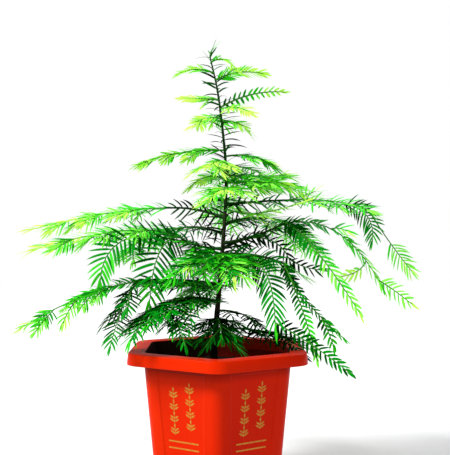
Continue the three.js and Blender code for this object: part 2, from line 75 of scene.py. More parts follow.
SEED = 1907
SEED_STEP = 101
WORD = 0xFFFFFFFF
STRIDE = 0x6D2B79F5
LENGTH_POINTS = 33
HEIGHT_POINTS = 2001


class Draws:
    """A repeatable run of numbers from 0 to 1, the same as the one that the solids were grown from."""

    def __init__(self, seed: int) -> None:
        """Starts the run.

        Args:
            seed: Whole number that the run follows from.
        """
        self.state = seed & WORD

    def __call__(self) -> float:
        """Moves the run on.

        Returns:
            The next number, from 0 up to 1.
        """
        self.state = (self.state + STRIDE) & WORD
        mixed = ((self.state ^ (self.state >> 15)) * (self.state | 1)) & WORD
        mixed = ((mixed + (((mixed ^ (mixed >> 7)) * (mixed | 61)) & WORD)) ^ mixed) & WORD
        return (mixed ^ (mixed >> 14)) / (WORD + 1)

    def uneven(self, spread: float) -> float:
        """Returns a number up to half of the spread either side of nought."""
        return spread * (self() - 0.5)


def lerp(low: float, high: float, share: float) -> float:
    """Returns the value at a share of the way from low to high."""
    return low + (high - low) * share


def unit(rows: np.ndarray) -> np.ndarray:
    """Returns each row of an array at length 1."""
    return rows / np.linalg.norm(rows, axis=-1, keepdims=True)


@dataclass(frozen=True)
class Habit:
    """How the needles of one kind of shoot stand and are shaped.

    Spacing is the step from one to the next along a shoot, and spread is the angle between shoot and
    needle at the root in degrees. Angle and lift are how unevenly they stand. Sweep, droop and twist are
    how far each bends forward, hangs and turns.
    """

    spacing: float = 2.1
    spread: float = 68.0
    angle: float = 12.0
    lift: float = 24.0
    width: float = 2.0
    sweep: float = 0.09
    droop: float = 0.07
    twist: float = 50.0


SPRAY_HABIT = Habit()
TUFT_HABIT = Habit(spacing=1.8, spread=42, angle=9, lift=22, width=2.3, twist=70)
LOOSE_HABIT = Habit(spacing=1.9, spread=53, lift=30, width=2.1, twist=80)
FROND_HABIT = Habit(spacing=3.1, spread=70, angle=8, lift=12, width=2.9, sweep=0.06)
SHORT_HABIT = Habit(spacing=2.5, spread=62, angle=14, lift=20, width=2.6, sweep=0.12)
BOUGH_HABIT = Habit(spacing=3.6, angle=34, lift=60, width=2.2, sweep=0.2, droop=0.14, twist=70)
LEADER_HABIT = Habit(spacing=2.3, width=2.0, sweep=0.05, droop=0.26, twist=130)
TIP_GAIN = 0.34
NO_GAP = (1.0, 1.0)


@dataclass(frozen=True)
class Fork:
    """A side stem, which leaves its stem at a share of its length. Without a roll it takes its row's.

    Bare is the share of its length that has no needles, size scales its row's needles, and tone adds to
    its row's.
    """

    at: float
    heading: float
    reach: float
    rise: float
    knee: tuple[float, float]
    roll: float | None = None
    bare: float = 0.02
    size: float = 1.0
    tone: float = 0.08


@dataclass(frozen=True)
class Row:
    """One limb. It rises from the trunk at a height, or goes on from the tip of the bough it is on.

    Reach and rise run from root to tip, and knee is the out and up of the point that the limb bends
    towards. Roll tips its plane, size scales its needles, tone is how light they are, partly for the
    needles' age and partly as painted shade where the limb lies in shadow, gain is how much lighter the tip
    is than the root, and fine is how many finer side shoots it has beside the twigs of the solids. Its stem
    has no needles in the gap, from one share of its length to another.
    """

    name: str
    heading: float
    reach: float
    rise: float
    knee: tuple[float, float]
    at: float = 0.0
    on: str = ""
    size: float = 1.0
    roll: float = 0.0
    twigs: int = 0
    twig_reach: float = 22.0
    forks: tuple[Fork, ...] = ()
    tone: float = 0.5
    gain: float = TIP_GAIN
    gap: tuple[float, float] = NO_GAP
    habit: Habit = SPRAY_HABIT
    fine: int = 0


# Low tones here are partly painted shade: limbs inside the crown get darker needles.
BOUGHS = (
    Row("bough_right_upper", at=323, heading=14, reach=70, rise=6, knee=(35, 4), fine=2, tone=0.32),
    Row("bough_right_arch", at=280, heading=-14, reach=70, rise=22, knee=(36, 5), fine=2, tone=0.1),
    Row("bough_right_inner", at=274, heading=4, reach=33, rise=12, knee=(17, 9), fine=1, tone=0.03),
    Row("bough_right_low", at=268, heading=-34, reach=78, rise=-10, knee=(48, 2), fine=6, tone=0.38),
    Row("bough_right_front", at=262, heading=-58, reach=62, rise=-2, knee=(36, 12), fine=9, tone=0.4),
    Row("bough_left_upper", at=308, heading=166, reach=64, rise=12, knee=(33, 13), tone=0.12),
    Row("bough_left_middle", at=274, heading=196, reach=50, rise=13, knee=(28, -1), fine=10, tone=0.26),
    Row("bough_left_low", at=234, heading=205, reach=92, rise=6, knee=(47, 8), fine=20, tone=0.24),
    Row("bough_left_bottom", at=214, heading=228, reach=50, rise=7, knee=(29, 8), fine=13, tone=0.18),
    Row("bough_back_right", at=300, heading=52, reach=74, rise=10, knee=(38, 12), fine=6, tone=0.2),
    Row("bough_back_left", at=290, heading=132, reach=78, rise=8, knee=(40, 12), fine=4, tone=0.2),
)

# Low tones here are partly painted shade: sprays that lie in shadow, under or inside the crown, get darker
# needles.
SPRAYS = (
    Row("spray_leader", at=488, heading=20, reach=4, rise=11, knee=(0, 7), size=0.7, tone=0.4),
    Row(
        "spray_top_right_1", at=483, heading=-30, reach=21, rise=-2, knee=(12, 5),
        size=0.6, tone=0.88, gain=0.5, habit=TUFT_HABIT,
    ),
    Row(
        "spray_top_left_1", at=471, heading=200, reach=41, rise=-4, knee=(23, 6),
        size=0.6, roll=15, tone=0.95, gain=0.6, habit=TUFT_HABIT,
    ),
    Row(
        "spray_top_right_2", at=463, heading=-20, reach=56, rise=3, knee=(25, 11),
        size=0.6, roll=-35, fine=1, tone=0.87, gain=0.6, habit=TUFT_HABIT,
    ),
    Row(
        "spray_top_left_2", at=441, heading=165, reach=42, rise=4, knee=(22, 2),
        size=0.6, roll=-50, fine=1, tone=0.9, gain=0.6, habit=TUFT_HABIT,
    ),
    Row(
        "spray_top_right_3", at=432, heading=15, reach=78, rise=22, knee=(36, 23),
        size=0.44, roll=-45, tone=0.6, gain=0.9, habit=FROND_HABIT,
    ),
    Row(
        "spray_top_right_4", at=430, heading=-50, reach=54, rise=-13, knee=(28, 3),
        size=0.65, roll=25, fine=1, tone=0.87, gain=0.6, habit=TUFT_HABIT,
    ),
    Row(
        "spray_top_left_3", at=420, heading=215, reach=32, rise=-6, knee=(17, 0),
        size=0.7, roll=-30, fine=2, tone=0.88, gain=0.6, habit=TUFT_HABIT,
    ),
    Row(
        "spray_top_right_5", at=417, heading=8, reach=32, rise=-12, knee=(18, 2),
        size=0.65, roll=30, fine=1, tone=0.85, gain=0.6, habit=TUFT_HABIT,
    ),
    Row(
        "spray_top_back", at=424, heading=104, reach=44, rise=-3, knee=(22, 4),
        size=0.85, fine=1, tone=0.7, gain=0.5, habit=TUFT_HABIT,
    ),
    Row(
        "spray_high_left_1", at=384, heading=190, reach=98, rise=-19, knee=(60, 0),
        size=0.6, roll=18, twigs=3, fine=2, tone=0.84, gain=0.5, habit=TUFT_HABIT,
    ),
    Row(
        "spray_high_right_1", at=377, heading=-15, reach=52, rise=-8, knee=(25, 4),
        size=0.8, twigs=3, twig_reach=20, fine=2, tone=0.56, gain=0.8, habit=TUFT_HABIT,
    ),
    Row(
        "spray_high_front", at=371, heading=250, reach=50, rise=-10, knee=(26, 0),
        size=0.8, fine=4, tone=0.84, gain=0.5, habit=TUFT_HABIT,
    ),
    Row(
        "spray_high_right_2", at=366, heading=45, reach=54, rise=-3, knee=(27, 3),
        twigs=2, twig_reach=20, tone=0.65,
    ),
    Row(
        "spray_high_back", at=362, heading=86, reach=74, rise=-8, knee=(36, 8),
        twigs=4, twig_reach=26, tone=0.6,
    ),
    Row(
        "spray_high_left_2", at=351, heading=175, reach=42, rise=-9, knee=(22, 11),
        size=0.65, roll=25, fine=1, tone=0.86, gain=0.6, habit=TUFT_HABIT,
    ),
    Row(
        "spray_high_right_3", at=356, heading=20, reach=75, rise=3, knee=(42, -2),
        size=0.85, roll=25, twigs=4, twig_reach=26, fine=2, tone=0.7, gain=0.5, habit=TUFT_HABIT,
    ),
    Row(
        "spray_high_right_4", at=347, heading=-35, reach=73, rise=-3, knee=(41, 0),
        roll=-20, twigs=5, twig_reach=30, fine=6, tone=0.68, gain=0.5, habit=TUFT_HABIT,
    ),
    Row(
        "spray_high_front_low", at=338, heading=268, reach=80, rise=-8, knee=(40, 6),
        twigs=4, twig_reach=24, fine=3, tone=0.72, gain=0.5, habit=LOOSE_HABIT,
    ),
    Row(
        "spray_right_upper", on="bough_right_upper", heading=0, reach=97, rise=-11, knee=(62, 3),
        roll=20, twigs=4, twig_reach=24, fine=3, tone=0.56,
        forks=(
            Fork(at=0.03, heading=24, reach=36, rise=11, knee=(18, 4)),
            Fork(at=0.62, heading=-14, reach=32, rise=-44, knee=(38, -10), roll=70, size=0.7, tone=-0.2),
            Fork(at=0.97, heading=2, reach=50, rise=-71, knee=(20, -34), roll=75, bare=0.55, size=0.8),
        ),
    ),
    Row(
        "spray_right_lime", at=318, heading=-38, reach=58, rise=-4, knee=(34, -10),
        twigs=2, twig_reach=26, tone=0.8,
        forks=(Fork(at=0.6, heading=-16, reach=56, rise=12, knee=(28, 2)),),
    ),
    Row(
        "spray_right_arch", on="bough_right_arch", heading=-6, reach=104, rise=-70, knee=(64, 12),
        size=0.75, roll=30, tone=0.56, gain=0.5, gap=(0.36, 0.5), habit=SHORT_HABIT,
        forks=(
            Fork(at=0.42, heading=-20, reach=18, rise=-3, knee=(9, 2)),
            Fork(
                at=0.8, heading=196, reach=30, rise=-17, knee=(6, -14), roll=60,
                bare=0.3, size=0.8, tone=0.3,
            ),
            Fork(at=0.95, heading=-4, reach=36, rise=-26, knee=(14, -8), roll=60, size=0.8, tone=0.2),
        ),
    ),
    Row(
        "spray_right_arch_front", on="bough_right_arch", heading=-38, reach=90, rise=-94, knee=(26, -6),
        size=0.62, roll=42, gain=0.6, habit=SHORT_HABIT,
    ),
    Row(
        "spray_right_inner", on="bough_right_inner", heading=2, reach=44, rise=-30, knee=(34, 2),
        size=0.62, roll=-40, tone=0.08, habit=FROND_HABIT,
        forks=(Fork(at=0.9, heading=-8, reach=36, rise=-12, knee=(16, -11)),),
    ),
    Row(
        "spray_right_low", on="bough_right_low", heading=-4, reach=65, rise=-80, knee=(15, -38),
        size=0.42, roll=35, tone=0.38, gain=0.6, habit=SHORT_HABIT,
        forks=(Fork(at=0.72, heading=-40, reach=15, rise=-30, knee=(8, -12)),),
    ),
    Row(
        "spray_right_low_front", on="bough_right_low", heading=-62, reach=60, rise=-94, knee=(31, -32),
        size=0.4, roll=40, tone=0.4, gain=0.6, habit=SHORT_HABIT,
    ),
    Row(
        "spray_right_front", on="bough_right_front", heading=-60, reach=40, rise=-64, knee=(38, -4),
        size=0.92, roll=60, tone=0.32, habit=SHORT_HABIT,
        forks=(Fork(at=0.96, heading=-16, reach=74, rise=-47, knee=(36, -18), size=0.5, tone=-0.08),),
    ),
    Row(
        "spray_right_bottom", at=205, heading=-8, reach=50, rise=-17, knee=(28, 2),
        size=0.8, fine=4, tone=0.1,
    ),
    Row(
        "spray_right_rim", at=184, heading=-8, reach=94, rise=-13, knee=(48, 6),
        twigs=4, twig_reach=26, fine=5, tone=-0.1,
    ),
    Row(
        "spray_front_bottom", at=196, heading=-84, reach=62, rise=-16, knee=(30, 6),
        size=0.74, twigs=3, twig_reach=24, fine=8, tone=0.19, habit=TUFT_HABIT,
    ),
    Row(
        "spray_left_upper", on="bough_left_upper", heading=176, reach=160, rise=-24, knee=(62, 0),
        size=0.95, roll=-20, twigs=5, twig_reach=30, fine=6, tone=0.74, gain=0.6, habit=LOOSE_HABIT,
    ),
    Row(
        "spray_left_middle", on="bough_left_middle", heading=186, reach=158, rise=-15, knee=(44, 20),
        size=0.95, roll=-25, twigs=5, twig_reach=28, fine=6, tone=0.64, gain=0.6, habit=LOOSE_HABIT,
    ),
    Row(
        "spray_left_hanging", on="bough_left_middle", heading=205, reach=88, rise=-48, knee=(86, 14),
        roll=-55, tone=0.4, habit=FROND_HABIT,
    ),
    Row(
        "spray_left_front", on="bough_left_middle", heading=232, reach=46, rise=-72, knee=(42, -2),
        size=1.1, roll=-50, tone=0.37, habit=FROND_HABIT,
    ),
    Row(
        "spray_left_low", on="bough_left_low", heading=200, reach=124, rise=-46, knee=(62, -8),
        size=0.6, roll=-30, twigs=3, twig_reach=24, fine=4, tone=0.6, gain=0.5, gap=(0.6, 0.74),
        habit=LOOSE_HABIT,
        forks=(Fork(at=0.5, heading=222, reach=22, rise=-26, knee=(14, -6)),),
    ),
    Row(
        "spray_left_rim", on="bough_left_low", heading=214, reach=26, rise=-40, knee=(20, -12),
        size=0.75, twigs=2, twig_reach=20, fine=4, tone=0.28,
    ),
    Row(
        "spray_left_back", at=226, heading=158, reach=56, rise=8, knee=(30, 12),
        twigs=2, twig_reach=24, fine=6, tone=0.45,
    ),
    Row(
        "spray_left_bottom_outer", on="bough_left_bottom", heading=205, reach=56, rise=-24, knee=(30, -2),
        size=0.85, twigs=4, twig_reach=26, fine=14, tone=0.33, gain=0.5,
    ),
    Row(
        "spray_left_bottom_inner", on="bough_left_bottom", heading=250, reach=36, rise=-32, knee=(20, -4),
        size=0.65, twigs=3, fine=4, tone=0.26, gain=0.5,
    ),
    Row(
        "spray_centre_right", at=256, heading=-82, reach=84, rise=-10, knee=(50, 18),
        roll=20, twigs=3, twig_reach=26, fine=7, gain=0.9,
    ),
    Row(
        "spray_centre_left", at=266, heading=-115, reach=80, rise=-12, knee=(40, 12),
        roll=-20, twigs=4, twig_reach=26, fine=11, tone=0.45, gain=0.7,
    ),
    Row(
        "spray_back_right", on="bough_back_right", heading=46, reach=108, rise=-42, knee=(56, 4),
        twigs=4, twig_reach=34, fine=8, tone=0.6,
    ),
    Row(
        "spray_back_left", on="bough_back_left", heading=138, reach=106, rise=-38, knee=(54, 4),
        twigs=4, twig_reach=34, fine=5, tone=0.6,
    ),
    Row(
        "spray_back_middle", at=326, heading=93, reach=146, rise=-22, knee=(72, 20),
        twigs=4, twig_reach=34, fine=5, tone=0.65,
    ),
    Row(
        "spray_back_low", at=228, heading=112, reach=118, rise=-30, knee=(62, 15),
        twigs=4, twig_reach=30, fine=9,
    ),
    Row(
        "spray_back_inner", at=260, heading=94, reach=108, rise=-22, knee=(54, 12),
        twigs=4, twig_reach=36, fine=7, tone=0.45,
    ),
)


@dataclass(frozen=True)
class Limb:
    """One limb as a curve, the level vector across its heading, and its radius from root to tip."""

    curve: Callable[[np.ndarray], np.ndarray]
    across: np.ndarray
    heading: float
    roll: float
    thick: float
    thin: float

    def frames(self, shares: np.ndarray) -> tuple[np.ndarray, np.ndarray, np.ndarray, np.ndarray]:
        """Finds the places and directions along the limb.

        Args:
            shares: Shares of its length, from 0 at the root to 1 at the tip.

        Returns:
            The points, the tangents, the sides and the normals, one row for each share.
        """
        step = 1e-3
        low = np.clip(shares - step, 0, 1)
        high = np.clip(shares + step, 0, 1)
        tangent = unit(self.curve(high) - self.curve(low))
        level = unit(self.across - tangent * (tangent @ self.across)[:, None])
        normal = np.cross(tangent, level)
        side = level * math.cos(self.roll) + normal * math.sin(self.roll)
        return self.curve(shares), tangent, side, np.cross(tangent, side)

    @property
    def length(self) -> float:
        """Length along the curve."""
        points = self.curve(np.linspace(0, 1, LENGTH_POINTS))
        return float(np.linalg.norm(np.diff(points, axis=0), axis=1).sum())

    def radii(self, shares: np.ndarray) -> np.ndarray:
        """Returns the radius at each share of the length."""
        return self.thick + (self.thin - self.thick) * shares


def limb_from(root: np.ndarray, row: Row | Fork, roll: float, thick: float, thin: float) -> Limb:
    """Makes the limb of a row.

    Args:
        root: Where it starts.
        row: Its heading, reach, rise and knee.
        roll: Tip of its plane in degrees.
        thick: Radius at the root.
        thin: Radius at the tip.

    Returns:
        The limb, on a curve with one bend.
    """
    angle = math.radians(row.heading)
    out = np.array((math.cos(angle), math.sin(angle), 0.0))
    knee = root + out * row.knee[0] + UP * row.knee[1]
    tip = root + out * row.reach + UP * row.rise

    def curve(shares: np.ndarray) -> np.ndarray:
        """Returns the points of the bend at the shares."""
        t = np.asarray(shares)[:, None]
        return root * (1 - t) ** 2 + knee * 2 * t * (1 - t) + tip * t**2

    across = np.array((-math.sin(angle), math.cos(angle), 0.0))
    return Limb(curve, across, row.heading, math.radians(roll), thick, thin)


@dataclass(frozen=True)
class TrunkLimb(Limb):
    """The trunk, with a root flare at the soil."""

    soil_top: float = 143.0
    taper: float = 0.85
    flare: float = 2.6
    flare_height: float = 11.0

    def radii(self, shares: np.ndarray) -> np.ndarray:
        """Works out the radius along the trunk.

        Args:
            shares: Shares of its length.

        Returns:
            The radius at each, with the root flare.
        """
        height = self.curve(shares)[:, 2] - self.soil_top
        shaft = self.thick + (self.thin - self.thick) * shares**self.taper
        return shaft + self.flare * np.exp(-height / self.flare_height)

    def at_height(self, height: float) -> np.ndarray:
        """Finds the middle of the trunk at a height.

        Args:
            height: The height above the floor.

        Returns:
            The point.
        """
        shares = np.linspace(0, 1, HEIGHT_POINTS)
        points = self.curve(shares)
        return np.array([np.interp(height, points[:, 2], points[:, axis]) for axis in range(3)])


def through_points(bends: Sequence[tuple[float, float, float]]) -> Callable[[np.ndarray], np.ndarray]:
    """Makes the smooth curve through a limb's bends.

    Args:
        bends: The bends from root to tip.

    Returns:
        The curve, which takes shares of the way and gives points. Its speed follows the root of each span.
    """
    inner = np.array(bends, float)
    points = np.vstack((2 * inner[0] - inner[1], inner, 2 * inner[-1] - inner[-2]))
    spans = np.sqrt(np.linalg.norm(np.diff(points, axis=0), axis=1))[:, None]

    def curve(shares: np.ndarray) -> np.ndarray:
        """Works out the points of the curve.

        Args:
            shares: Shares of the way, from 0 to 1.

        Returns:
            The point at each.
        """
        place = np.asarray(shares) * (len(inner) - 1)
        first = np.clip(place.astype(int), 0, len(inner) - 2)
        t = (place - first)[:, None]
        a, b, c, d = (points[first + i] for i in range(4))
        before, own, after = (spans[first + i] for i in range(3))
        leave = ((b - a) / before - (c - a) / (before + own) + (c - b) / own) * own
        arrive = ((c - b) / own - (d - b) / (own + after) + (d - c) / after) * own
        cubic = 2 * b - 2 * c + leave + arrive
        square = -3 * b + 3 * c - 2 * leave - arrive
        return b + leave * t + square * t**2 + cubic * t**3

    return curve


# Meshes


@dataclass(frozen=True)
class Pattern:
    """A small closed shape that is repeated many times, as its points and its triangles."""

    points: np.ndarray
    faces: np.ndarray

    @classmethod
    def from_shape(cls, shape: bmesh.types.BMesh) -> "Pattern":
        """Takes the points and triangles of a shape, and frees it.

        Args:
            shape: The closed shape.

        Returns:
            The pattern.
        """
        bmesh.ops.triangulate(shape, faces=shape.faces)
        shape.verts.index_update()
        points = np.array([tuple(vert.co) for vert in shape.verts])
        faces = np.array([[vert.index for vert in face.verts] for face in shape.faces])
        shape.free()
        return cls(points, faces)


def upright_edges(shape: bmesh.types.BMesh) -> list[bmesh.types.BMEdge]:
    """Returns the edges that run up a shape of height 1."""
    return [edge for edge in shape.edges if abs(edge.verts[0].co.z - edge.verts[1].co.z) > 0.5]


def rod(sides: int, steps: int) -> bmesh.types.BMesh:
    """Makes a straight closed rod of radius 1 that runs from 0 to 1 along Z.

    Args:
        sides: Sides of its section.
        steps: Pieces along its length.

    Returns:
        The rod.
    """
    shape = bmesh.new()
    place = Matrix.Translation((0, 0, 0.5))
    bmesh.ops.create_cone(
        shape, cap_ends=True, segments=sides, radius1=1, radius2=1, depth=1, matrix=place
    )
    bmesh.ops.subdivide_edges(shape, edges=upright_edges(shape), cuts=steps - 1)
    return shape


def joined(name: str, pattern: Pattern, placed: np.ndarray) -> bpy.types.Object:
    """Makes one piece of many copies of a pattern.

    Args:
        name: Name of the piece.
        pattern: The pattern that each copy has the faces of.
        placed: The points of each copy in millimetres, one block for each.

    Returns:
        The piece, in the scene.
    """
    starts = np.arange(len(placed)) * len(pattern.points)
    faces = (pattern.faces[None] + starts[:, None, None]).reshape(-1, 3)
    mesh = bpy.data.meshes.new(name)
    mesh.from_pydata((placed.reshape(-1, 3) * MM).tolist(), [], faces.tolist())
    return shown(name, mesh)


def shown(name: str, mesh: bpy.types.Mesh) -> bpy.types.Object:
    """Puts a mesh in the scene as a piece at the origin.

    Args:
        name: Name of the piece.
        mesh: Its mesh, in metres.

    Returns:
        The piece.
    """
    piece = bpy.data.objects.new(name, mesh)
    bpy.context.scene.collection.objects.link(piece)
    return piece


def piece_from(name: str, shape: bmesh.types.BMesh, sharp: float = 30.0) -> bpy.types.Object:
    """Makes a smooth piece of a shape in millimetres, and frees the shape.

    Args:
        name: Name of the piece.
        shape: The shape.
        sharp: Angle in degrees past which an edge stays sharp.

    Returns:
        The piece, in the scene.
    """
    bmesh.ops.scale(shape, vec=(MM, MM, MM), verts=shape.verts)
    bmesh.ops.recalc_face_normals(shape, faces=shape.faces)
    mesh = bpy.data.meshes.new(name)
    shape.to_mesh(mesh)
    shape.free()
    mesh.shade_smooth()
    mesh.set_sharp_from_angle(angle=math.radians(sharp))
    return shown(name, mesh)


def settle(
    piece: bpy.types.Object, finish: bpy.types.Material, nodes: Sequence[str] = ()
) -> None:
    """Dresses a piece, and fixes it to the plant's body.

    Args:
        piece: The piece.
        finish: Its material.
        nodes: The solids that it stands for.
    """
    piece.data.materials.append(finish)
    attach(piece, BODY)
    if nodes:
        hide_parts(*nodes)
    triangles = sum(len(face.vertices) - 2 for face in piece.data.polygons)
    LOG.info("%s: %d triangles", piece.name, triangles)


# Finishes


class Surface:
    """A material being made, with the shader that it ends in."""

    def __init__(self, name: str, **values: float | tuple) -> None:
        """Starts a material.

        Args:
            name: Name of the material.
            values: Values of the shader's sockets, with _ for each space in a socket's name.
        """
        self.material = bpy.data.materials.new(name)
        self.material.use_nodes = True
        self.tree = self.material.node_tree
        self.shader = self.tree.nodes["Principled BSDF"]
        for socket, value in values.items():
            self.shader.inputs[socket.replace("_", " ")].default_value = value

    def add(self, kind: str, **inputs: float | bpy.types.NodeSocket) -> bpy.types.Node:
        """Adds a node, with its inputs set or linked.

        Args:
            kind: The node's type after ShaderNode.
            inputs: Values or sockets, with _ for each space in an input's name.

        Returns:
            The node.
        """
        node = self.tree.nodes.new("ShaderNode" + kind)
        for name, value in inputs.items():
            target = node.inputs[name.replace("_", " ")]
            if isinstance(value, bpy.types.NodeSocket):
                self.tree.links.new(value, target)
            else:
                target.default_value = value
        return node

    def grain(self, scale: float, detail: float = 3.0, stretch: Colour = (1, 1, 1)) -> bpy.types.NodeSocket:
        """Adds a random pattern.

        Args:
            scale: How many of its spots lie side by side in a metre.
            detail: How many times finer spots are laid over it.
            stretch: How much closer its spots lie along each axis.

        Returns:
            Its value, from 0 to 1.
        """
        place = self.add("TexCoord").outputs["Object"]
        spread = self.add("Mapping", Vector=place, Scale=stretch)
        pattern = self.add("TexNoise", Vector=spread.outputs["Vector"], Scale=scale, Detail=detail)
        return pattern.outputs["Fac"]

    def mapped(
        self, value: bpy.types.NodeSocket, low: float, high: float, to: tuple[float, float]
    ) -> bpy.types.NodeSocket:
        """Adds a node that stretches a value's range to another.

        Args:
            value: The value.
            low: Where its range starts.
            high: Where its range ends.
            to: What these two become.

        Returns:
            The stretched value.
        """
        node = self.add("MapRange", Value=value, From_Min=low, From_Max=high, To_Min=to[0], To_Max=to[1])
        return node.outputs["Result"]

    def coordinate(self, axis: str) -> bpy.types.NodeSocket:
        """Returns where a point lies along an axis of the object, in metres."""
        return self.add("SeparateXYZ", Vector=self.add("TexCoord").outputs["Object"]).outputs[axis]

    def product(self, first: bpy.types.NodeSocket, second: bpy.types.NodeSocket) -> bpy.types.NodeSocket:
        """Adds the product of two values.

        Args:
            first: One value.
            second: The other value.

        Returns:
            The product.
        """
        node = self.tree.nodes.new("ShaderNodeMath")
        node.operation = "MULTIPLY"
        self.tree.links.new(first, node.inputs[0])
        self.tree.links.new(second, node.inputs[1])
        return node.outputs[0]

    def blend(
        self, share: bpy.types.NodeSocket, first: Colour | bpy.types.NodeSocket, second: Colour
    ) -> bpy.types.NodeSocket:
        """Adds a mix of two colours.

        Args:
            share: How much of the second colour shows, from 0 to 1.
            first: Colour at 0, or a socket that gives it.
            second: Colour at 1.

        Returns:
            The mixed colour.
        """
        node = self.tree.nodes.new("ShaderNodeMix")
        node.data_type = "RGBA"
        self.tree.links.new(share, node.inputs[0])
        if isinstance(first, bpy.types.NodeSocket):
            self.tree.links.new(first, node.inputs[6])
        else:
            node.inputs[6].default_value = (*first, 1)
        node.inputs[7].default_value = (*second, 1)
        return node.outputs[2]

    def feed(self, socket: str, value: bpy.types.NodeSocket) -> None:
        """Links a value to one of the shader's sockets."""
        self.tree.links.new(value, self.shader.inputs[socket])

    def relief(self, height: bpy.types.NodeSocket, depth: float, strength: float = 1.0) -> None:
        """Gives the surface a fine relief.

        Args:
            height: The pattern of the relief, from 0 to 1.
            depth: Its depth in metres.
            strength: How much of it shows.
        """
        bump = self.add("Bump", Height=height, Distance=depth, Strength=strength)
        self.feed("Normal", bump.outputs["Normal"])


@dataclass(frozen=True)
class PotFinish:
    """Moulded orange-red plastic with a satin gloss, faint flow marks and a little dust low down.

    Painted shade darkens the wall under the lip, where the lip's shadow falls, and the inside of the wall
    on its left, which lies in shadow. Places are in metres, as the object's coordinates are.
    """

    name: str = "pot_plastic"
    colour: Colour = (0.63, 0.02, 0.0)
    shade: Colour = (0.55, 0.01, 0.0)
    gloss: float = 0.035
    dust: Colour = (0.5, 0.14, 0.07)
    dust_share: float = 0.3
    dust_top: float = 0.06
    # Painted shade: the inside of the wall darkened on its left, which lies in shadow.
    inner_shadow: Colour = (0.02, 0.006, 0.004)
    inner_shadow_right: float = 0.034
    inner_shadow_left: float = -0.016
    faces_in: float = -0.03
    # Painted shade: the dark band under the lip, where the lip's shadow falls.
    lip_shadow: Colour = (0.2, 0.004, 0.0)
    lip_shadow_share: float = 0.85
    lip_shadow_low: float = 0.139
    lip_shadow_high: float = 0.15
    lip_foot: float = 0.1528

    def inner_wall_shadow(self, surface: Surface) -> bpy.types.NodeSocket:
        """Works out the painted shade on the inside of the wall, which lies in shadow most of all on its
        left.

        Args:
            surface: The material being made.

        Returns:
            The share of painted shade over the plastic.
        """
        place = surface.add("TexCoord").outputs
        inward = surface.add("VectorMath")
        inward.operation = "DOT_PRODUCT"
        surface.tree.links.new(place["Object"], inward.inputs[0])
        surface.tree.links.new(place["Normal"], inward.inputs[1])
        inside = surface.mapped(inward.outputs["Value"], 0.0, self.faces_in, (0, 1))
        left = surface.mapped(surface.coordinate("X"), self.inner_shadow_right, self.inner_shadow_left, (0, 1))
        return surface.product(inside, left)

    def under_lip_shadow(self, surface: Surface, height: bpy.types.NodeSocket) -> bpy.types.NodeSocket:
        """Works out the painted shade that darkens the wall under the lip, where the lip's shadow falls.

        Args:
            surface: The material being made.
            height: Height above the floor.

        Returns:
            The share of grime over the plastic.
        """
        rising = surface.mapped(height, self.lip_shadow_low, self.lip_shadow_high, (0.0, self.lip_shadow_share))
        below_lip = surface.add("Math", Value=height)
        below_lip.operation = "LESS_THAN"
        below_lip.inputs[1].default_value = self.lip_foot
        return surface.product(rising, below_lip.outputs[0])

    def material(self) -> bpy.types.Material:
        """Makes the material.

        Returns:
            The material.
        """
        surface = Surface(self.name, Specular_IOR_Level=self.gloss)
        flow = surface.grain(9, detail=4, stretch=(1, 1, 0.35))
        body = surface.blend(surface.mapped(flow, 0.35, 0.7, (0, 1)), self.colour, self.shade)
        height = surface.coordinate("Z")
        low = surface.mapped(height, 0.0, self.dust_top, (self.dust_share, 0.0))
        patches = surface.mapped(surface.grain(60, detail=6), 0.45, 0.75, (0, 1))
        body = surface.blend(surface.product(low, patches), body, self.dust)
        # Painted shade under the lip, standing in for the lip's shadow.
        body = surface.blend(self.under_lip_shadow(surface, height), body, self.lip_shadow)
        # Painted shade on the inside of the wall, darkest on its left, where it lies in shadow.
        surface.feed("Base Color", surface.blend(self.inner_wall_shadow(surface), body, self.inner_shadow))
        scuffs = surface.grain(140, detail=5, stretch=(1, 1, 0.15))
        surface.feed("Roughness", surface.mapped(scuffs, 0.3, 0.75, (0.26, 0.42)))
        surface.relief(surface.grain(700, detail=1), depth=0.00008, strength=0.35)
        return surface.material


@dataclass(frozen=True)
class GoldFinish:
    """Gold print on plastic, slightly uneven."""

    name: str = "gold_print"
    colour: Colour = (0.5, 0.22, 0.02)
    worn: Colour = (0.44, 0.14, 0.01)

    def material(self) -> bpy.types.Material:
        """Makes the material.

        Returns:
            The material.
        """
        surface = Surface(self.name, Metallic=0.15, Specular_IOR_Level=0.2)
        wear = surface.mapped(surface.grain(420, detail=5), 0.4, 0.7, (0, 1))
        surface.feed("Base Color", surface.blend(wear, self.colour, self.worn))
        surface.feed("Roughness", surface.mapped(wear, 0, 1, (0.34, 0.5)))
        return surface.material


@dataclass(frozen=True)
class SoilFinish:
    """Moist dark potting soil."""

    name: str = "soil_earth"
    wet: Colour = (0.012, 0.008, 0.006)
    dry: Colour = (0.032, 0.019, 0.011)

    def material(self) -> bpy.types.Material:
        """Makes the material.

        Returns:
            The material.
        """
        surface = Surface(self.name, Specular_IOR_Level=0.05)
        lumps = surface.mapped(surface.grain(260, detail=8), 0.38, 0.68, (0, 1))
        surface.feed("Base Color", surface.blend(lumps, self.wet, self.dry))
        surface.feed("Roughness", surface.mapped(lumps, 0, 1, (0.7, 0.95)))
        surface.relief(surface.grain(900, detail=6), depth=0.0006)
        return surface.material


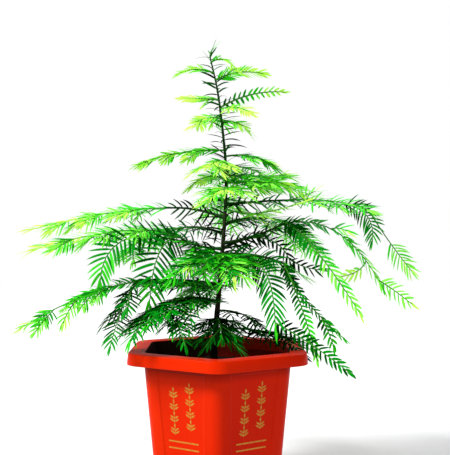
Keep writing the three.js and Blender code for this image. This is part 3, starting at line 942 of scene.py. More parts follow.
@dataclass(frozen=True)
class BarkFinish:
    """Brown bark that turns to the green of young wood from one height to another, in millimetres."""

    name: str
    low: float
    high: float
    old: Colour = (0.035, 0.022, 0.013)
    crack: Colour = (0.008, 0.006, 0.004)
    young: Colour = (0.006, 0.05, 0.006)

    def material(self) -> bpy.types.Material:
        """Makes the material.

        Returns:
            The material.
        """
        surface = Surface(self.name, Specular_IOR_Level=0.08)
        furrows = surface.mapped(surface.grain(620, detail=7, stretch=(1, 1, 0.22)), 0.36, 0.62, (0, 1))
        wood = surface.blend(furrows, self.crack, self.old)
        new = surface.mapped(surface.coordinate("Z"), self.low * MM, self.high * MM, (0, 1))
        surface.feed("Base Color", surface.blend(new, wood, self.young))
        surface.feed("Roughness", surface.mapped(furrows, 0, 1, (0.9, 0.62)))
        surface.relief(furrows, depth=0.0004)
        return surface.material


@dataclass(frozen=True)
class ShootFinish:
    """The smooth green skin of this and last year's shoots."""

    name: str = "young_shoot"
    colour: Colour = (0.02, 0.24, 0.01)
    tan: Colour = (0.06, 0.2, 0.015)

    def material(self) -> bpy.types.Material:
        """Makes the material.

        Returns:
            The material.
        """
        surface = Surface(self.name, Specular_IOR_Level=0.08)
        ribs = surface.mapped(surface.grain(500, detail=4), 0.35, 0.7, (0, 1))
        surface.feed("Base Color", surface.blend(ribs, self.colour, self.tan))
        surface.feed("Roughness", surface.mapped(ribs, 0, 1, (0.45, 0.6)))
        return surface.material


@dataclass(frozen=True)
class NeedleFinish:
    """One green of the needles. Its colour is plain, because each tint has its place in the crown, and the
    darker tints are painted shade where the crown lies in shadow.
    """

    tint: Tint
    colour: Colour
    slot: str
    gloss: float = 0.06
    glow: float = 0.12
    glow_reach: Colour = (0.4, 1.0, 0.1)

    @property
    def name(self) -> str:
        """Name of the material, and of the piece that has it."""
        return "needles_" + self.tint.name.lower()

    def material(self) -> bpy.types.Material:
        """Makes the material.

        Returns:
            The material.
        """
        surface = Surface(
            self.name,
            Base_Color=(*self.colour, 1),
            Specular_IOR_Level=self.gloss,
            Subsurface_Weight=self.glow,
            Subsurface_Radius=self.glow_reach,
            Subsurface_Scale=MM,
        )
        surface.feed("Roughness", surface.mapped(surface.grain(300, detail=2), 0.3, 0.7, (0.36, 0.55)))
        return surface.material


# The SHADE and DEEP tints serve in part as painted shade for needles in shadow.
NEEDLE_FINISHES = (
    NeedleFinish(Tint.SHADE, (0.001, 0.012, 0.001), "needle_dark", 0.0),
    NeedleFinish(Tint.DEEP, (0.001, 0.07, 0.003), "needle_dark", 0.0),
    NeedleFinish(Tint.LEAF, (0.0, 0.24, 0.005), "needle_green"),
    NeedleFinish(Tint.BRIGHT, (0.03, 0.52, 0.008), "needle_green"),
    NeedleFinish(Tint.FRESH, (0.19, 0.83, 0.05), "needle_lime"),
    NeedleFinish(Tint.LIME, (0.47, 0.93, 0.085), "needle_lime"),
)


# Sub-assemblies


@dataclass
class Pot:
    """A hexagonal pot with round corners, a broad lip with a skirt, and a sunk panel on each face."""

    height: float = 165.0
    foot_radius: float = 73.0
    mouth_radius: float = 91.0
    corner: float = 13.0
    wall: float = 2.2
    floor: float = 3.0
    lip_radius: float = 110.0
    lip_corner: float = 21.0
    lip_height: float = 12.0
    lip_flare: float = 1.5
    panel_margin: float = 8.1
    panel_foot: float = 5.9
    panel_top: float = 156.0
    panel_step: float = 1.2
    panel_depth: float = 1.1
    edge_round: float = 0.7
    edge_steps: int = 3
    edge_angle: float = 25.0
    corner_steps: int = 6

    def radius_at(self, height: float) -> float:
        """Returns the radius of the wall at a height, from the middle to a corner."""
        return lerp(self.foot_radius, self.mouth_radius, height / self.height)

    def ring(self, shape: bmesh.types.BMesh, radius: float, corner: float, height: float) -> list:
        """Adds a level hexagon with round corners, one of them towards -Y.

        Args:
            shape: The shape that it is added to.
            radius: From the middle to where a corner would be if it were sharp.
            corner: Radius of the rounding.
            height: Height of the ring.

        Returns:
            Its edges.
        """
        place = Matrix.Translation((0, 0, height))
        made = bmesh.ops.create_circle(shape, cap_ends=True, segments=SIDES, radius=radius, matrix=place)
        offset = corner * math.tan(SIXTH / 2)
        rounded = bmesh.ops.bevel(
            shape, geom=made["verts"], offset=offset, offset_type="OFFSET", segments=self.corner_steps,
            profile=0.5, affect="VERTICES", material=-1,
        )
        corners = set(rounded["verts"])
        face = next(face for vert in corners for face in vert.link_faces)
        edges = list(face.edges)
        bmesh.ops.delete(shape, geom=[face], context="FACES_ONLY")
        return edges

    def shell(self) -> bmesh.types.BMesh:
        """Makes the pot's wall, lip and floor as one closed shape.

        Returns:
            The shape.
        """
        shape = bmesh.new()
        lip_foot = self.height - self.lip_height
        lip_top = self.lip_radius - self.lip_flare
        under = self.height - self.wall
        levels = (
            (self.foot_radius, self.corner, 0.0),
            (self.radius_at(self.panel_foot), self.corner, self.panel_foot),
            (self.radius_at(self.panel_top), self.corner, self.panel_top),
            (self.radius_at(under), self.corner, under),
            (lip_top - self.wall, self.lip_corner - self.wall, under),
            (self.lip_radius - self.wall, self.lip_corner - self.wall, lip_foot),
            (self.lip_radius, self.lip_corner, lip_foot),
            (lip_top, self.lip_corner, self.height),
            (self.mouth_radius - self.wall, self.corner - self.wall, self.height),
            (self.radius_at(self.floor) - self.wall, self.corner - self.wall, self.floor),
        )
        rings = [self.ring(shape, *level) for level in levels]
        walls = []
        for lower, upper in zip(rings, rings[1:]):
            walls.append(bmesh.ops.bridge_loops(shape, edges=lower + upper)["faces"])
        for rim in (rings[0], rings[-1]):
            bmesh.ops.contextual_create(shape, geom=rim)
        bmesh.ops.recalc_face_normals(shape, faces=shape.faces)
        panels = sorted(walls[1], key=lambda face: -face.calc_area())[:SIDES]
        bmesh.ops.inset_individual(shape, faces=panels, thickness=self.panel_margin, use_even_offset=True)
        bmesh.ops.inset_individual(
            shape, faces=panels, thickness=self.panel_step, depth=-self.panel_depth, use_even_offset=True
        )
        sharp = math.radians(self.edge_angle)
        hard = [edge for edge in shape.edges if edge.is_manifold and edge.calc_face_angle() > sharp]
        bmesh.ops.bevel(
            shape, geom=hard, offset=self.edge_round, segments=self.edge_steps, profile=0.5,
            affect="EDGES", clamp_overlap=True, material=-1,
        )
        return shape

    def build(self) -> None:
        """Builds the pot and dresses it."""
        piece = piece_from("pot_shell", self.shell())
        settle(piece, PotFinish().material(), ["pot"])


@dataclass
class Ornament:
    """Gold print on each face: two columns of small sprigs over a pair of rules, barely raised.

    Leaf places are the shares of the stem that leaves stand at, with the side that each leans to.
    """

    pot: Pot
    column: float = 9.8
    step: float = 12.6
    top: float = 128.0
    drop: float = 6.0
    rows: int = 4
    leaf_length: float = 6.8
    leaf_width: float = 2.0
    stem_length: float = 8.2
    stem_width: float = 0.9
    leaf_angle: float = 58.0
    leaf_places: tuple[tuple[float, int], ...] = ((0.1, 1), (0.1, -1), (0.5, 1), (0.5, -1), (0.85, 0))
    leaf_at_tip: float = 0.7
    leaf_point: float = 0.08
    leaf_belly: float = 1.6
    plate_cuts: int = 5
    rule_length: float = 36.0
    rule_width: float = 1.5
    rule_places: tuple[float, float] = (69.0, 76.0)
    raised: float = 0.12
    buried: float = 0.25

    def plate(self, taper: float) -> Pattern:
        """Makes the pattern of a thin upright plate with its foot at the origin.

        Args:
            taper: How much of its width is left at the two ends.

        Returns:
            The pattern, 1 wide and 1 high.
        """
        shape = bmesh.new()
        bmesh.ops.create_cube(shape, size=1)
        bmesh.ops.subdivide_edges(shape, edges=upright_edges(shape), cuts=self.plate_cuts)
        for vert in shape.verts:
            vert.co.x *= lerp(1, taper, abs(vert.co.z * 2) ** self.leaf_belly)
            vert.co.y *= self.raised
            vert.co.z += 0.5
        return Pattern.from_shape(shape)

    def sprig(self, place: Matrix) -> list[Matrix]:
        """Places the leaves of a sprig on its stem.

        Args:
            place: The stem's place.

        Returns:
            The place of each leaf.
        """
        leaves = []
        for share, turn in self.leaf_places:
            lean = Matrix.Rotation(math.radians(turn * self.leaf_angle), 4, "Y")
            length = self.leaf_length * lerp(1, self.leaf_at_tip, share)
            size = Matrix.Diagonal((self.leaf_width, 1, length, 1))
            leaves.append(place @ Matrix.Translation((0, 0, share * self.stem_length)) @ lean @ size)
        return leaves

    def faces(self) -> list[Matrix]:
        """Finds the planes of the six panels.

        Returns:
            The place of each, upright along Z and outward along -Y.
        """
        pot = self.pot
        flat = math.cos(SIXTH / 2)
        lean = Matrix.Rotation(math.atan2((pot.mouth_radius - pot.foot_radius) * flat, pot.height), 4, "X")
        depth = pot.panel_depth - pot.foot_radius * flat - self.raised * self.buried
        out = Matrix.Translation((0, depth, 0))
        return [Matrix.Rotation((side + 0.5) * SIXTH, 4, "Z") @ out @ lean for side in range(SIDES)]

    def build(self) -> None:
        """Builds the print of the six faces."""
        leaves = []
        bars = []
        stem = Matrix.Diagonal((self.stem_width, 1, self.stem_length, 1))
        rule = Matrix.Diagonal((self.rule_width, 1, self.rule_length, 1))
        lying = Matrix.Rotation(math.pi / 2, 4, "Y") @ rule
        for face in self.faces():
            for hand in (-1, 1):
                for row in range(self.rows):
                    height = self.top - row * self.step + hand * self.drop / 2 - self.stem_length / 2
                    place = face @ Matrix.Translation((hand * self.column, 0, height))
                    leaves += self.sprig(place)
                    bars.append(place @ stem)
            for height in self.rule_places:
                bars.append(face @ Matrix.Translation((-self.rule_length / 2, 0, height)) @ lying)
        finish = GoldFinish().material()
        kinds = (("pot_print_leaves", self.leaf_point, leaves), ("pot_print_bars", 1, bars))
        for name, taper, places in kinds:
            pattern = self.plate(taper)
            corners = np.hstack((pattern.points, np.ones((len(pattern.points), 1))))
            placed = np.array([(corners @ np.array(place).T)[:, :3] for place in places])
            settle(joined(name, pattern, placed), finish)


@dataclass
class Soil:
    """Lumpy soil that fills the pot to below its lip, with loose crumbs on it."""

    pot: Pot
    top: float = 143.0
    gap: float = 0.6
    cells: int = 96
    lump_size: float = 9.0
    lump_height: float = 2.6
    grit_size: float = 3.2
    grit_height: float = 1.3
    grit_layer: float = 50.0
    corner_cut: float = 0.16
    edge_angle: float = 60.0
    crumbs: int = 900
    crumb_least: float = 0.5
    crumb_most: float = 1.9
    crumb_spread: float = 0.6
    crumb_height: float = 0.8
    crumb_height_spread: float = 0.4
    crumb_rise: float = 0.3

    def height_at(self, x: float, y: float) -> float:
        """Works out the height of the soil's surface.

        Args:
            x: Place along X.
            y: Place along Y.

        Returns:
            The height above the floor.
        """
        lump = noise.noise(Vector((x, y, 0)) / self.lump_size) * self.lump_height
        grit = noise.noise(Vector((x, y, self.grit_layer)) / self.grit_size) * self.grit_height
        return self.top - self.lump_height / 2 + lump + grit

    def build(self) -> None:
        """Builds the soil and its crumbs."""
        finish = SoilFinish().material()
        radius = self.pot.radius_at(self.top) - self.pot.wall - self.gap
        shape = bmesh.new()
        bmesh.ops.create_grid(shape, x_segments=self.cells, y_segments=self.cells, size=radius)
        inradius = radius * math.cos(SIXTH / 2)
        for side in range(2 * SIDES):
            angle = side * SIXTH / 2
            reach = inradius if side % 2 == 0 else radius - self.pot.corner * self.corner_cut
            away = Vector((math.cos(angle), math.sin(angle), 0))
            geometry = [*shape.verts, *shape.edges, *shape.faces]
            bmesh.ops.bisect_plane(
                shape, geom=geometry, plane_co=away * reach, plane_no=away, clear_outer=True
            )
        surface = list(shape.faces)
        lower = bmesh.ops.extrude_face_region(shape, geom=surface)["geom"]
        deep = [item for item in lower if isinstance(item, bmesh.types.BMVert)]
        shrink = (self.pot.radius_at(self.pot.floor) - self.pot.wall - self.gap) / radius
        below = set(deep)
        for vert in shape.verts:
            if vert in below:
                vert.co = Vector((vert.co.x * shrink, vert.co.y * shrink, self.pot.floor + self.gap))
            else:
                vert.co.z = self.height_at(vert.co.x, vert.co.y)
        settle(piece_from("soil_bed", shape, self.edge_angle), finish, ["soil"])
        self.scatter(finish, inradius)

    def scatter(self, finish: bpy.types.Material, reach: float) -> None:
        """Scatters crumbs over the soil.

        Args:
            finish: The soil's material.
            reach: How far from the middle they lie.
        """
        ball = bmesh.new()
        bmesh.ops.create_icosphere(ball, subdivisions=1, radius=1)
        crumb = Pattern.from_shape(ball)
        draws = Draws(SEED)
        placed = []
        for _ in range(self.crumbs):
            angle = math.tau * draws()
            out = (reach - self.crumb_most * 2) * math.sqrt(draws())
            size = lerp(self.crumb_least, self.crumb_most, draws() ** 3)
            x = out * math.cos(angle)
            y = out * math.sin(angle)
            wide = 1 + draws.uneven(self.crumb_spread)
            deep = 1 + draws.uneven(self.crumb_spread)
            high = self.crumb_height + draws.uneven(self.crumb_height_spread)
            middle = np.array((x, y, self.height_at(x, y) + size * self.crumb_rise))
            placed.append(crumb.points * np.array((wide, deep, high)) * size + middle)
        settle(joined("soil_crumbs", crumb, np.array(placed)), finish)


@dataclass
class Wood:
    """Trunk and boughs, with the relief of their bark.

    The trunk starts at its foot, sunk into the soil, and goes on through its bends to the leader.
    """

    soil_top: float = 143.0
    sunk: float = 5.0
    foot: tuple[float, float] = (-5.4, 0.0)
    bends: tuple[tuple[float, float, float], ...] = (
        (-2, 1, 186), (1.5, 2, 226), (5, 1, 268), (8, -1, 310),
        (9.5, 0, 356), (5.5, 2, 407), (-1, 1, 455), (-8.5, 0, 488),
    )
    trunk_radius: float = 3.7
    leader_radius: float = 0.8
    bough_radius: float = 1.7
    bough_tip: float = 1.05
    trunk_sides: int = 28
    trunk_steps: int = 520
    bough_sides: int = 14
    bough_steps: int = 70
    furrow_width: float = 1.5
    furrow_length: float = 7.0
    furrow_depth: float = 0.13
    knot_step: float = 6.0
    knot_depth: float = 0.07
    edge_angle: float = 50.0
    trunk_seed: float = 3.1
    bough_seed: float = 11.3
    root_lobes: int = 4
    root_turn: float = 0.7
    lesser_lobes: int = 3
    lesser_turn: float = 2.0
    lesser_share: float = 0.5
    lobe_depth: float = 0.2
    lobe_height: float = 8.0
    collar: float = 0.7
    collar_length: float = 5.0
    collar_sag: float = 0.3
    trunk: TrunkLimb = field(init=False)
    boughs: dict[str, Limb] = field(init=False)

    def __post_init__(self) -> None:
        """Settles the curves of trunk and boughs."""
        start = (*self.foot, self.soil_top - self.sunk)
        curve = through_points((start, *self.bends))
        across = np.array((1.0, 0.0, 0.0))
        self.trunk = TrunkLimb(curve, across, 90, 0, self.trunk_radius, self.leader_radius, self.soil_top)
        radii = (self.bough_radius, self.bough_tip)
        self.boughs = {
            row.name: limb_from(self.trunk.at_height(row.at), row, row.roll, *radii) for row in BOUGHS
        }

    def bark_relief(self, angle: float, along: float, radius: float, seed: float) -> float:
        """Works out how far the bark stands out or in.

        Args:
            angle: Way round the limb.
            along: Distance from the root.
            radius: The limb's radius there.
            seed: Number that sets this limb's pattern apart.

        Returns:
            The relief in shares of the radius.
        """
        around = Vector((math.cos(angle), math.sin(angle), 0)) * radius / self.furrow_width
        furrow = noise.noise(around + Vector((seed, 0, along / self.furrow_length)))
        flake = noise.noise(around * 2 + Vector((0, seed, along / self.furrow_width)))
        knot = math.sin(along / self.knot_step * math.tau + angle * 2)
        cracks = self.furrow_depth * (furrow - abs(furrow) + flake / 2)
        return cracks + self.knot_depth * knot * max(0, furrow)

    def bent(
        self, limb: Limb, sides: int, steps: int, seed: float, grow: Callable[[float, float], float]
    ) -> bmesh.types.BMesh:
        """Bends a rod along a limb, and gives it its radius and bark.

        Args:
            limb: The limb.
            sides: Sides of the rod.
            steps: Pieces along it.
            seed: Number that sets its bark apart.
            grow: Gives how much wider it is at an angle and a distance from its root.

        Returns:
            The shape.
        """
        shape = rod(sides, steps)
        shares = np.array([vert.co.z for vert in shape.verts])
        points, _, across, normals = limb.frames(shares)
        radii = limb.radii(shares)
        length = limb.length
        for vert, point, side, normal, radius in zip(shape.verts, points, across, normals, radii):
            angle = math.atan2(vert.co.y, vert.co.x)
            along = vert.co.z * length
            relief = 1 + self.bark_relief(angle, along, radius, seed)
            wide = radius * relief + grow(angle, along)
            vert.co = Vector(point + side * math.cos(angle) * wide + normal * math.sin(angle) * wide)
        return shape

    def flare_lobes(self, angle: float, along: float) -> float:
        """Works out how far the roots stand out at the trunk's foot.

        Args:
            angle: Way round the trunk.
            along: Distance from its foot.

        Returns:
            The extra radius.
        """
        lobes = math.cos(angle * self.root_lobes + self.root_turn)
        lobes += self.lesser_share * math.cos(angle * self.lesser_lobes + self.lesser_turn)
        return lobes * self.lobe_depth * self.trunk_radius * math.exp(-along / self.lobe_height)

    def bough_collar(self, angle: float, along: float) -> float:
        """Returns how much a bough widens where it leaves the trunk."""
        return self.collar * math.exp(-along / self.collar_length) * (1 - self.collar_sag * math.sin(angle))

    def build(self) -> None:
        """Builds trunk and boughs and dresses them."""
        sides, steps = self.trunk_sides, self.trunk_steps
        trunk = self.bent(self.trunk, sides, steps, self.trunk_seed, self.flare_lobes)
        brown = BarkFinish("bark_trunk", low=240, high=430).material()
        settle(piece_from("trunk_bark", trunk, self.edge_angle), brown, ["trunk"])
        green = BarkFinish("bark_bough", low=120, high=360).material()
        for number, (name, limb) in enumerate(self.boughs.items()):
            seed = self.bough_seed * (number + 1)
            shape = self.bent(limb, self.bough_sides, self.bough_steps, seed, self.bough_collar)
            settle(piece_from(name + "_bark", shape, self.edge_angle), green, [name])


@dataclass(frozen=True)
class Needle:
    """One needle: where it stands, the way it points, its blade and its tone."""

    root: np.ndarray
    along: np.ndarray
    across: np.ndarray
    normal: np.ndarray
    length: float
    width: float
    sweep: float
    droop: float
    tone: float


@dataclass(frozen=True)
class Blade:
    """The outline of a needle: narrow at its foot, even to where the tip begins, and keeled below.

    Shares are of its length and width, and the keel thins from its foot to its point.
    """

    sides: int = 4
    steps: int = 6
    foot: float = 0.35
    opening: float = 7.0
    tip_from: float = 0.55
    tip_closing: float = 4.6
    keel: tuple[float, float] = (0.5, 0.18)

    def pattern(self) -> Pattern:
        """Makes the pattern of a needle.

        Returns:
            The pattern, which runs from 0 to 1 along Z with its keel along Y.
        """
        shape = rod(self.sides, self.steps)
        for vert in shape.verts:
            share = vert.co.z
            tip = 1 - max(0.0, share - self.tip_from) ** 2 * self.tip_closing
            wide = min(1.0, self.foot + share * self.opening) * tip
            vert.co.x *= wide / 2
            vert.co.y *= lerp(*self.keel, share)
        return Pattern.from_shape(shape)


@dataclass(frozen=True)
class LeaderRing:
    """The single needles round the trunk's upper part, from the lowest to the highest.

    Climb is how steeply they leave the trunk in degrees. It, the length and the tone go from the lowest
    needle's to the highest's. Depth is how far they stand to front and back for each step aside.
    """

    low: float = 232.0
    high: float = 492.0
    depth: float = 0.6
    turn_spread: float = 0.6
    climb: tuple[float, float] = (20.0, 30.0)
    climb_spread: float = 30.0
    length: tuple[float, float] = (33.0, 18.0)
    length_spread: float = 0.35
    tone: tuple[float, float] = (0.0, 0.26)
    tone_spread: float = 0.2


@dataclass
class Foliage:
    """All shoots and needles, grown on from the limbs by the rule of the solids and carried further."""

    wood: Wood
    blade: Blade = Blade()
    leader: LeaderRing = LeaderRing()
    shoot_sides: int = 6
    shoot_steps: int = 8
    stem_radius: float = 1.15
    stem_on_bough: float = 0.98
    stem_tip: float = 0.5
    twig_radius: float = 0.8
    twig_tip: float = 0.45
    twig_first: float = 0.2
    twig_last: float = 0.86
    twig_angle: float = 52.0
    twig_sag: float = 0.22
    twig_arch: float = 0.08
    twig_shortening: float = 0.6
    twig_closing: float = 0.4
    twig_middle: float = 0.25
    twig_unevenness: float = 0.3
    twig_rise_spread: float = 4.0
    twig_bare: float = 0.05
    twig_needles: float = 0.92
    fine_reach: float = 26.0
    fine_radius: float = 0.55
    fine_unevenness: float = 0.8
    stem_bare: float = 0.04
    needle_length: float = 24.0
    needle_thickness: float = 0.55
    needle_shortening: float = 0.25
    needle_unevenness: float = 0.2
    needle_offset: float = 0.6
    fewest_needles: int = 4
    end_needles: int = 2
    end_closing: float = 0.4
    angle_at_tip: float = 26.0
    sweep_spread: float = 1.0
    droop_spread: float = 1.4
    width_spread: float = 0.3
    bough_comb: float = 62.0
    bough_bare: float = 0.12
    bough_needles: float = 0.75
    bough_twig_needles: float = 0.8
    bough_twig_tone: float = 0.15
    tone_spread: float = 0.17
    shoots: list[Limb] = field(default_factory=list)
    needles: list[Needle] = field(default_factory=list)

    def twigs_of(self, stem: Limb, row: Row, draws: Draws) -> list[Limb]:
        """Grows the side shoots of a stem, left and right in turn, shorter towards the tip.

        Args:
            stem: The stem.
            row: Its row.
            draws: The row's own numbers.

        Returns:
            The side shoots.
        """
        twigs = []
        for number in range(row.twigs):
            place = (number + 0.5 + draws.uneven(self.twig_unevenness)) / row.twigs
            share = lerp(self.twig_first, self.twig_last, place)
            hand = 1 if number % 2 == 0 else -1
            length = 1 + self.twig_shortening * (self.twig_middle - share)
            reach = row.twig_reach * length * (1 + draws.uneven(self.twig_unevenness))
            twigs.append(self.side_shoot(stem, share, hand, reach, row.roll, self.twig_radius, draws))
        for number in range(row.fine):
            place = (number + 0.5 + draws.uneven(self.fine_unevenness)) / row.fine
            share = lerp(self.twig_first / 2, self.twig_last, place)
            hand = -1 if number % 2 == 0 else 1
            reach = self.fine_reach * (1 + draws.uneven(self.twig_unevenness * 2))
            twigs.append(self.side_shoot(stem, share, hand, reach, row.roll, self.fine_radius, draws))
        return twigs

    def side_shoot(
        self, stem: Limb, share: float, hand: int, reach: float, roll: float, radius: float, draws: Draws
    ) -> Limb:
        """Grows one side shoot.

        Args:
            stem: The stem that it leaves.
            share: Where on the stem's length.
            hand: 1 for its left and -1 for its right.
            reach: How far it goes.
            roll: Tip of its plane in degrees.
            radius: Its radius at the root.
            draws: The row's own numbers.

        Returns:
            The shoot.
        """
        points, tangents, _, _ = stem.frames(np.array((share,)))
        rise = reach * (tangents[0][2] - self.twig_sag) + draws.uneven(self.twig_rise_spread)
        opening = 1 + self.twig_closing * (self.twig_middle - share)
        heading = stem.heading + hand * self.twig_angle * opening
        knee = (reach / 2, rise / 2 + reach * self.twig_arch)
        fork = Fork(share, heading, reach, rise, knee)
        return limb_from(points[0], fork, roll, radius, self.twig_tip)

    def feather(
        self, shoot: Limb, size: float, tone: float, first: float, draws: Draws,
        habit: Habit = SPRAY_HABIT, gain: float = TIP_GAIN, gap: tuple[float, float] = NO_GAP,
    ) -> None:
        """Gives a shoot its two ranks of needles, more and more forward towards the tip.

        Args:
            shoot: The shoot.
            size: Scale of its needles.
            tone: How light they are, from 0 to 1.
            first: Share of the length where they begin.
            draws: The row's own numbers.
            habit: How its needles stand and are shaped.
            gain: How much lighter the tip is than the root.
            gap: Shares of the length between which it has none.
        """
        count = max(self.fewest_needles, round(shoot.length * (1 - first) / habit.spacing))
        shares = np.array([lerp(first, 1, (i + self.needle_offset) / count) for i in range(count)])
        frames = shoot.frames(shares)
        for number, (share, root, tangent, side, normal) in enumerate(zip(shares, *frames)):
            hand = -1 if number % 2 == 0 else 1
            open_by = lerp(habit.spread, self.angle_at_tip, share**3)
            if number >= count - self.end_needles:
                open_by *= self.end_closing
            angle = math.radians(hand * (open_by + draws.uneven(habit.angle)))
            lift = math.radians(draws.uneven(habit.lift))
            along = unit(tangent * math.cos(angle) + side * math.sin(angle) + normal * math.sin(lift))
            taper = 1 - self.needle_shortening * share**4
            length = self.needle_length * size * taper * (1 + draws.uneven(self.needle_unevenness))
            light = tone + gain * (share - 0.5) + draws.uneven(self.tone_spread)
            if not gap[0] < share < gap[1]:
                self.grow_needle(root, along, tangent, normal, length, light, draws, habit)

    def grow_needle(
        self, root: np.ndarray, along: np.ndarray, forward: np.ndarray, normal: np.ndarray,
        length: float, tone: float, draws: Draws, habit: Habit,
    ) -> None:
        """Adds one needle.

        Args:
            root: Where it stands, in the middle of its shoot.
            along: The way it points.
            forward: The way its shoot grows, which its blade sweeps towards.
            normal: The upper side of its shoot.
            length: Its length.
            tone: How light it is.
            draws: The row's own numbers.
            habit: How it is shaped.
        """
        twist = math.radians(draws.uneven(habit.twist))
        across = unit(np.cross(normal, along))
        face = np.cross(along, across)
        turned = across * math.cos(twist) + face * math.sin(twist)
        towards = forward - along * (forward @ along)
        hand = 1 if towards @ turned >= 0 else -1
        sweep = hand * habit.sweep * (1 + draws.uneven(self.sweep_spread))
        droop = habit.droop * (1 + draws.uneven(self.droop_spread))
        width = habit.width * (1 + draws.uneven(self.width_spread))
        self.needles.append(
            Needle(root, along, turned, np.cross(along, turned), length, width, sweep, droop, tone)
        )

    def grow_spray(self, index: int, row: Row) -> None:
        """Grows one mass of foliage from its stem.

        Args:
            index: Its place in the list, which sets its numbers.
            row: Its row.
        """
        draws = Draws(SEED + index * SEED_STEP)
        parent = self.wood.boughs.get(row.on)
        if parent is None:
            root = self.wood.trunk.at_height(row.at)
            radius = self.stem_radius
        else:
            root = parent.curve(np.array((1.0,)))[0]
            radius = self.stem_on_bough
        stem = limb_from(root, row, row.roll, radius, self.stem_tip)
        forks = []
        for fork in row.forks:
            start = stem.curve(np.array((fork.at,)))[0]
            roll = row.roll if fork.roll is None else fork.roll
            forks.append(limb_from(start, fork, roll, self.twig_radius, self.twig_tip))
        twigs = self.twigs_of(stem, row, draws)
        self.shoots += [stem, *forks, *twigs]
        first = 0.0 if row.on else self.stem_bare
        self.feather(stem, row.size, row.tone, first, draws, row.habit, row.gain, row.gap)
        for fork, shoot in zip(row.forks, forks):
            self.feather(shoot, row.size * fork.size, row.tone + fork.tone, fork.bare, draws, row.habit)
        for shoot in twigs:
            size = row.size * self.twig_needles
            self.feather(shoot, size, row.tone, self.twig_bare, draws, row.habit)

    def grow_on_boughs(self) -> None:
        """Gives the boughs their older needles, darker for their age and as painted shade inside the crown.
        """
        draws = Draws(SEED + len(SPRAYS) * SEED_STEP)
        for row in BOUGHS:
            bough = self.wood.boughs[row.name]
            comb = replace(bough, roll=math.radians(self.bough_comb))
            self.feather(comb, self.bough_needles, row.tone, self.bough_bare, draws, BOUGH_HABIT)
            tone = row.tone + self.bough_twig_tone
            for shoot in self.twigs_of(bough, row, draws):
                self.shoots.append(shoot)
                self.feather(shoot, self.bough_twig_needles, tone, self.twig_bare, draws)

    def grow_on_leader(self) -> None:
        """Gives the trunk's upper part single needles all round, which arch outwards."""
        ring = self.leader
        draws = Draws(SEED - SEED_STEP)
        golden = math.pi * (3 - math.sqrt(5))
        count = int((ring.high - ring.low) / LEADER_HABIT.spacing)
        for number in range(count):
            share = number / count
            heading = number * golden + draws.uneven(ring.turn_spread)
            out = unit(np.array((math.cos(heading), math.sin(heading) * ring.depth, 0.0)))
            climb = math.radians(lerp(*ring.climb, share) + draws.uneven(ring.climb_spread))
            along = unit(out * math.cos(climb) + UP * math.sin(climb))
            normal = unit(UP - along * along[2])
            length = lerp(*ring.length, share) * (1 + draws.uneven(ring.length_spread))
            tone = lerp(*ring.tone, share) + draws.uneven(ring.tone_spread)
            root = self.wood.trunk.at_height(lerp(ring.low, ring.high, share))
            self.grow_needle(root, along, UP, normal, length, tone, draws, LEADER_HABIT)

    def lay(self, pattern: Pattern, needles: Sequence[Needle]) -> np.ndarray:
        """Places the pattern for each needle.

        Args:
            pattern: The needle's pattern.
            needles: The needles.

        Returns:
            The points of each, one block for each needle.
        """
        across, depth, share = pattern.points.T
        root, along, side, normal, length, width, sweep, droop = (
            np.array([getattr(needle, name) for needle in needles])[:, None]
            for name in ("root", "along", "across", "normal", "length", "width", "sweep", "droop")
        )
        bend = share**2 * length
        points = root + along * (share * length)[..., None]
        points = points + side * (across * width + bend * sweep)[..., None]
        points = points + normal * (depth * self.needle_thickness * np.ones_like(length))[..., None]
        return points - UP * (bend * droop)[..., None]

    def bend_shoots(self, pattern: Pattern) -> np.ndarray:
        """Bends a rod along each shoot.

        Args:
            pattern: The rod's pattern.

        Returns:
            The points of each shoot, one block for each.
        """
        x, y, share = pattern.points.T
        placed = []
        for shoot in self.shoots:
            points, _, side, normal = shoot.frames(share)
            radius = shoot.radii(share)
            placed.append(points + side * (x * radius)[:, None] + normal * (y * radius)[:, None])
        return np.array(placed)

    def build(self) -> None:
        """Grows the foliage, and builds it as one piece of shoots and one of needles for each tint."""
        for index, row in enumerate(SPRAYS):
            self.grow_spray(index, row)
        self.grow_on_boughs()
        self.grow_on_leader()
        nodes = [row.name for row in SPRAYS]
        stem = Pattern.from_shape(rod(self.shoot_sides, self.shoot_steps))
        settle(joined("young_shoots", stem, self.bend_shoots(stem)), ShootFinish().material(), nodes)
        blade = self.blade.pattern()
        for finish in NEEDLE_FINISHES:
            chosen = [needle for needle in self.needles if self.tint_of(needle) is finish.tint]
            if chosen:
                piece = joined(finish.name, blade, self.lay(blade, chosen))
                settle(piece, finish.material(), nodes)
        LOG.info("%d shoots and %d needles", len(self.shoots), len(self.needles))

    def tint_of(self, needle: Needle) -> Tint:
        """Returns the tint of a needle's tone."""
        return Tint(min(len(Tint) - 1, max(0, int(needle.tone * len(Tint)))))


# Studio


@dataclass(frozen=True)
class Sun:
    """A soft distant light: the heading it comes from, its height and the width of its disc in degrees."""

    name: str
    heading: float
    height: float
    power: float
    softness: float

    def build(self) -> None:
        """Adds the light."""
        data = bpy.data.lights.new(self.name, "SUN")
        data.energy = self.power
        data.angle = math.radians(self.softness)
        light = bpy.data.objects.new(self.name, data)
        light.rotation_euler = (math.radians(90 - self.height), 0, math.radians(self.heading + 90))
        bpy.context.scene.collection.objects.link(light)


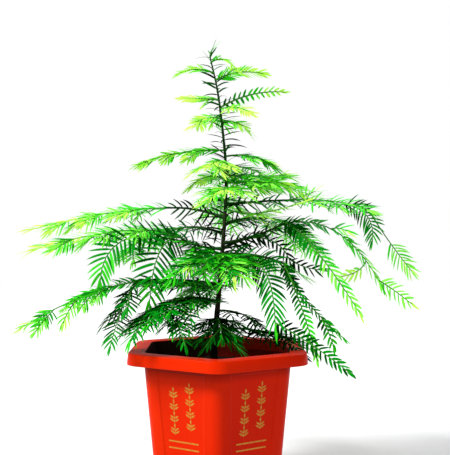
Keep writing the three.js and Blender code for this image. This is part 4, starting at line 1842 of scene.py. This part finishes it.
@dataclass
class Studio:
    """Pale floor, soft light from the left and front, and the camera at the photograph's place."""

    camera_place: tuple[float, float, float] = (1.4, -799.2, 277.0)
    camera_yaw: float = 0.485
    camera_pitch: float = 1.46
    lens: float = 56.71
    floor_radius: float = 4000.0
    floor_sides: int = 96
    floor_colour: Colour = (0.66, 0.66, 0.66)
    key: Sun = Sun("key", heading=211, height=44, power=4.5, softness=16)
    back: Sun = Sun("back", heading=48, height=56, power=2.2, softness=30)
    sky_colour: Colour = (0.96, 0.98, 1)
    sky_light: float = 0.36

    def build(self) -> None:
        """Builds camera, floor, sky and light."""
        self.add_camera()
        self.add_floor()
        self.add_sky()
        self.key.build()
        self.back.build()
        bpy.context.scene.view_settings.view_transform = "Standard"

    def add_camera(self) -> None:
        """Adds the camera."""
        data = bpy.data.cameras.new("camera")
        data.lens = self.lens
        camera = bpy.data.objects.new("camera", data)
        camera.location = Vector(self.camera_place) * MM
        pitch = math.radians(90 + self.camera_pitch)
        camera.rotation_euler = (pitch, 0, -math.radians(self.camera_yaw))
        bpy.context.scene.collection.objects.link(camera)
        bpy.context.scene.camera = camera

    def add_floor(self) -> None:
        """Adds the floor."""
        shape = bmesh.new()
        bmesh.ops.create_circle(
            shape, cap_ends=True, segments=self.floor_sides, radius=self.floor_radius
        )
        floor = piece_from("floor", shape)
        surface = Surface("floor_paper", Base_Color=(*self.floor_colour, 1), Specular_IOR_Level=0.1)
        surface.feed("Roughness", surface.mapped(surface.grain(6), 0, 1, (0.8, 0.95)))
        floor.data.materials.append(surface.material)

    def add_sky(self) -> None:
        """Adds an even sky that lights softly and shows white behind the plant."""
        world = bpy.data.worlds.new("sky")
        world.use_nodes = True
        tree = world.node_tree
        light = tree.nodes["Background"]
        light.inputs["Color"].default_value = (*self.sky_colour, 1)
        light.inputs["Strength"].default_value = self.sky_light
        white = tree.nodes.new("ShaderNodeBackground")
        white.inputs["Color"].default_value = (1, 1, 1, 1)
        mix = tree.nodes.new("ShaderNodeMixShader")
        ray = tree.nodes.new("ShaderNodeLightPath")
        tree.links.new(ray.outputs["Is Camera Ray"], mix.inputs["Fac"])
        tree.links.new(light.outputs["Background"], mix.inputs[1])
        tree.links.new(white.outputs["Background"], mix.inputs[2])
        tree.links.new(mix.outputs["Shader"], tree.nodes["World Output"].inputs["Surface"])
        bpy.context.scene.world = world


def main() -> None:
    """Builds the studio, the pot with its print and soil, and the plant."""
    logging.basicConfig(level=logging.INFO, format="%(message)s")
    pot = Pot()
    wood = Wood()
    for part in (Studio(), pot, Ornament(pot), Soil(pot), wood, Foliage(wood)):
        part.build()
        LOG.info("Built: %s", type(part).__name__)


if __name__ == "__main__":
    main()
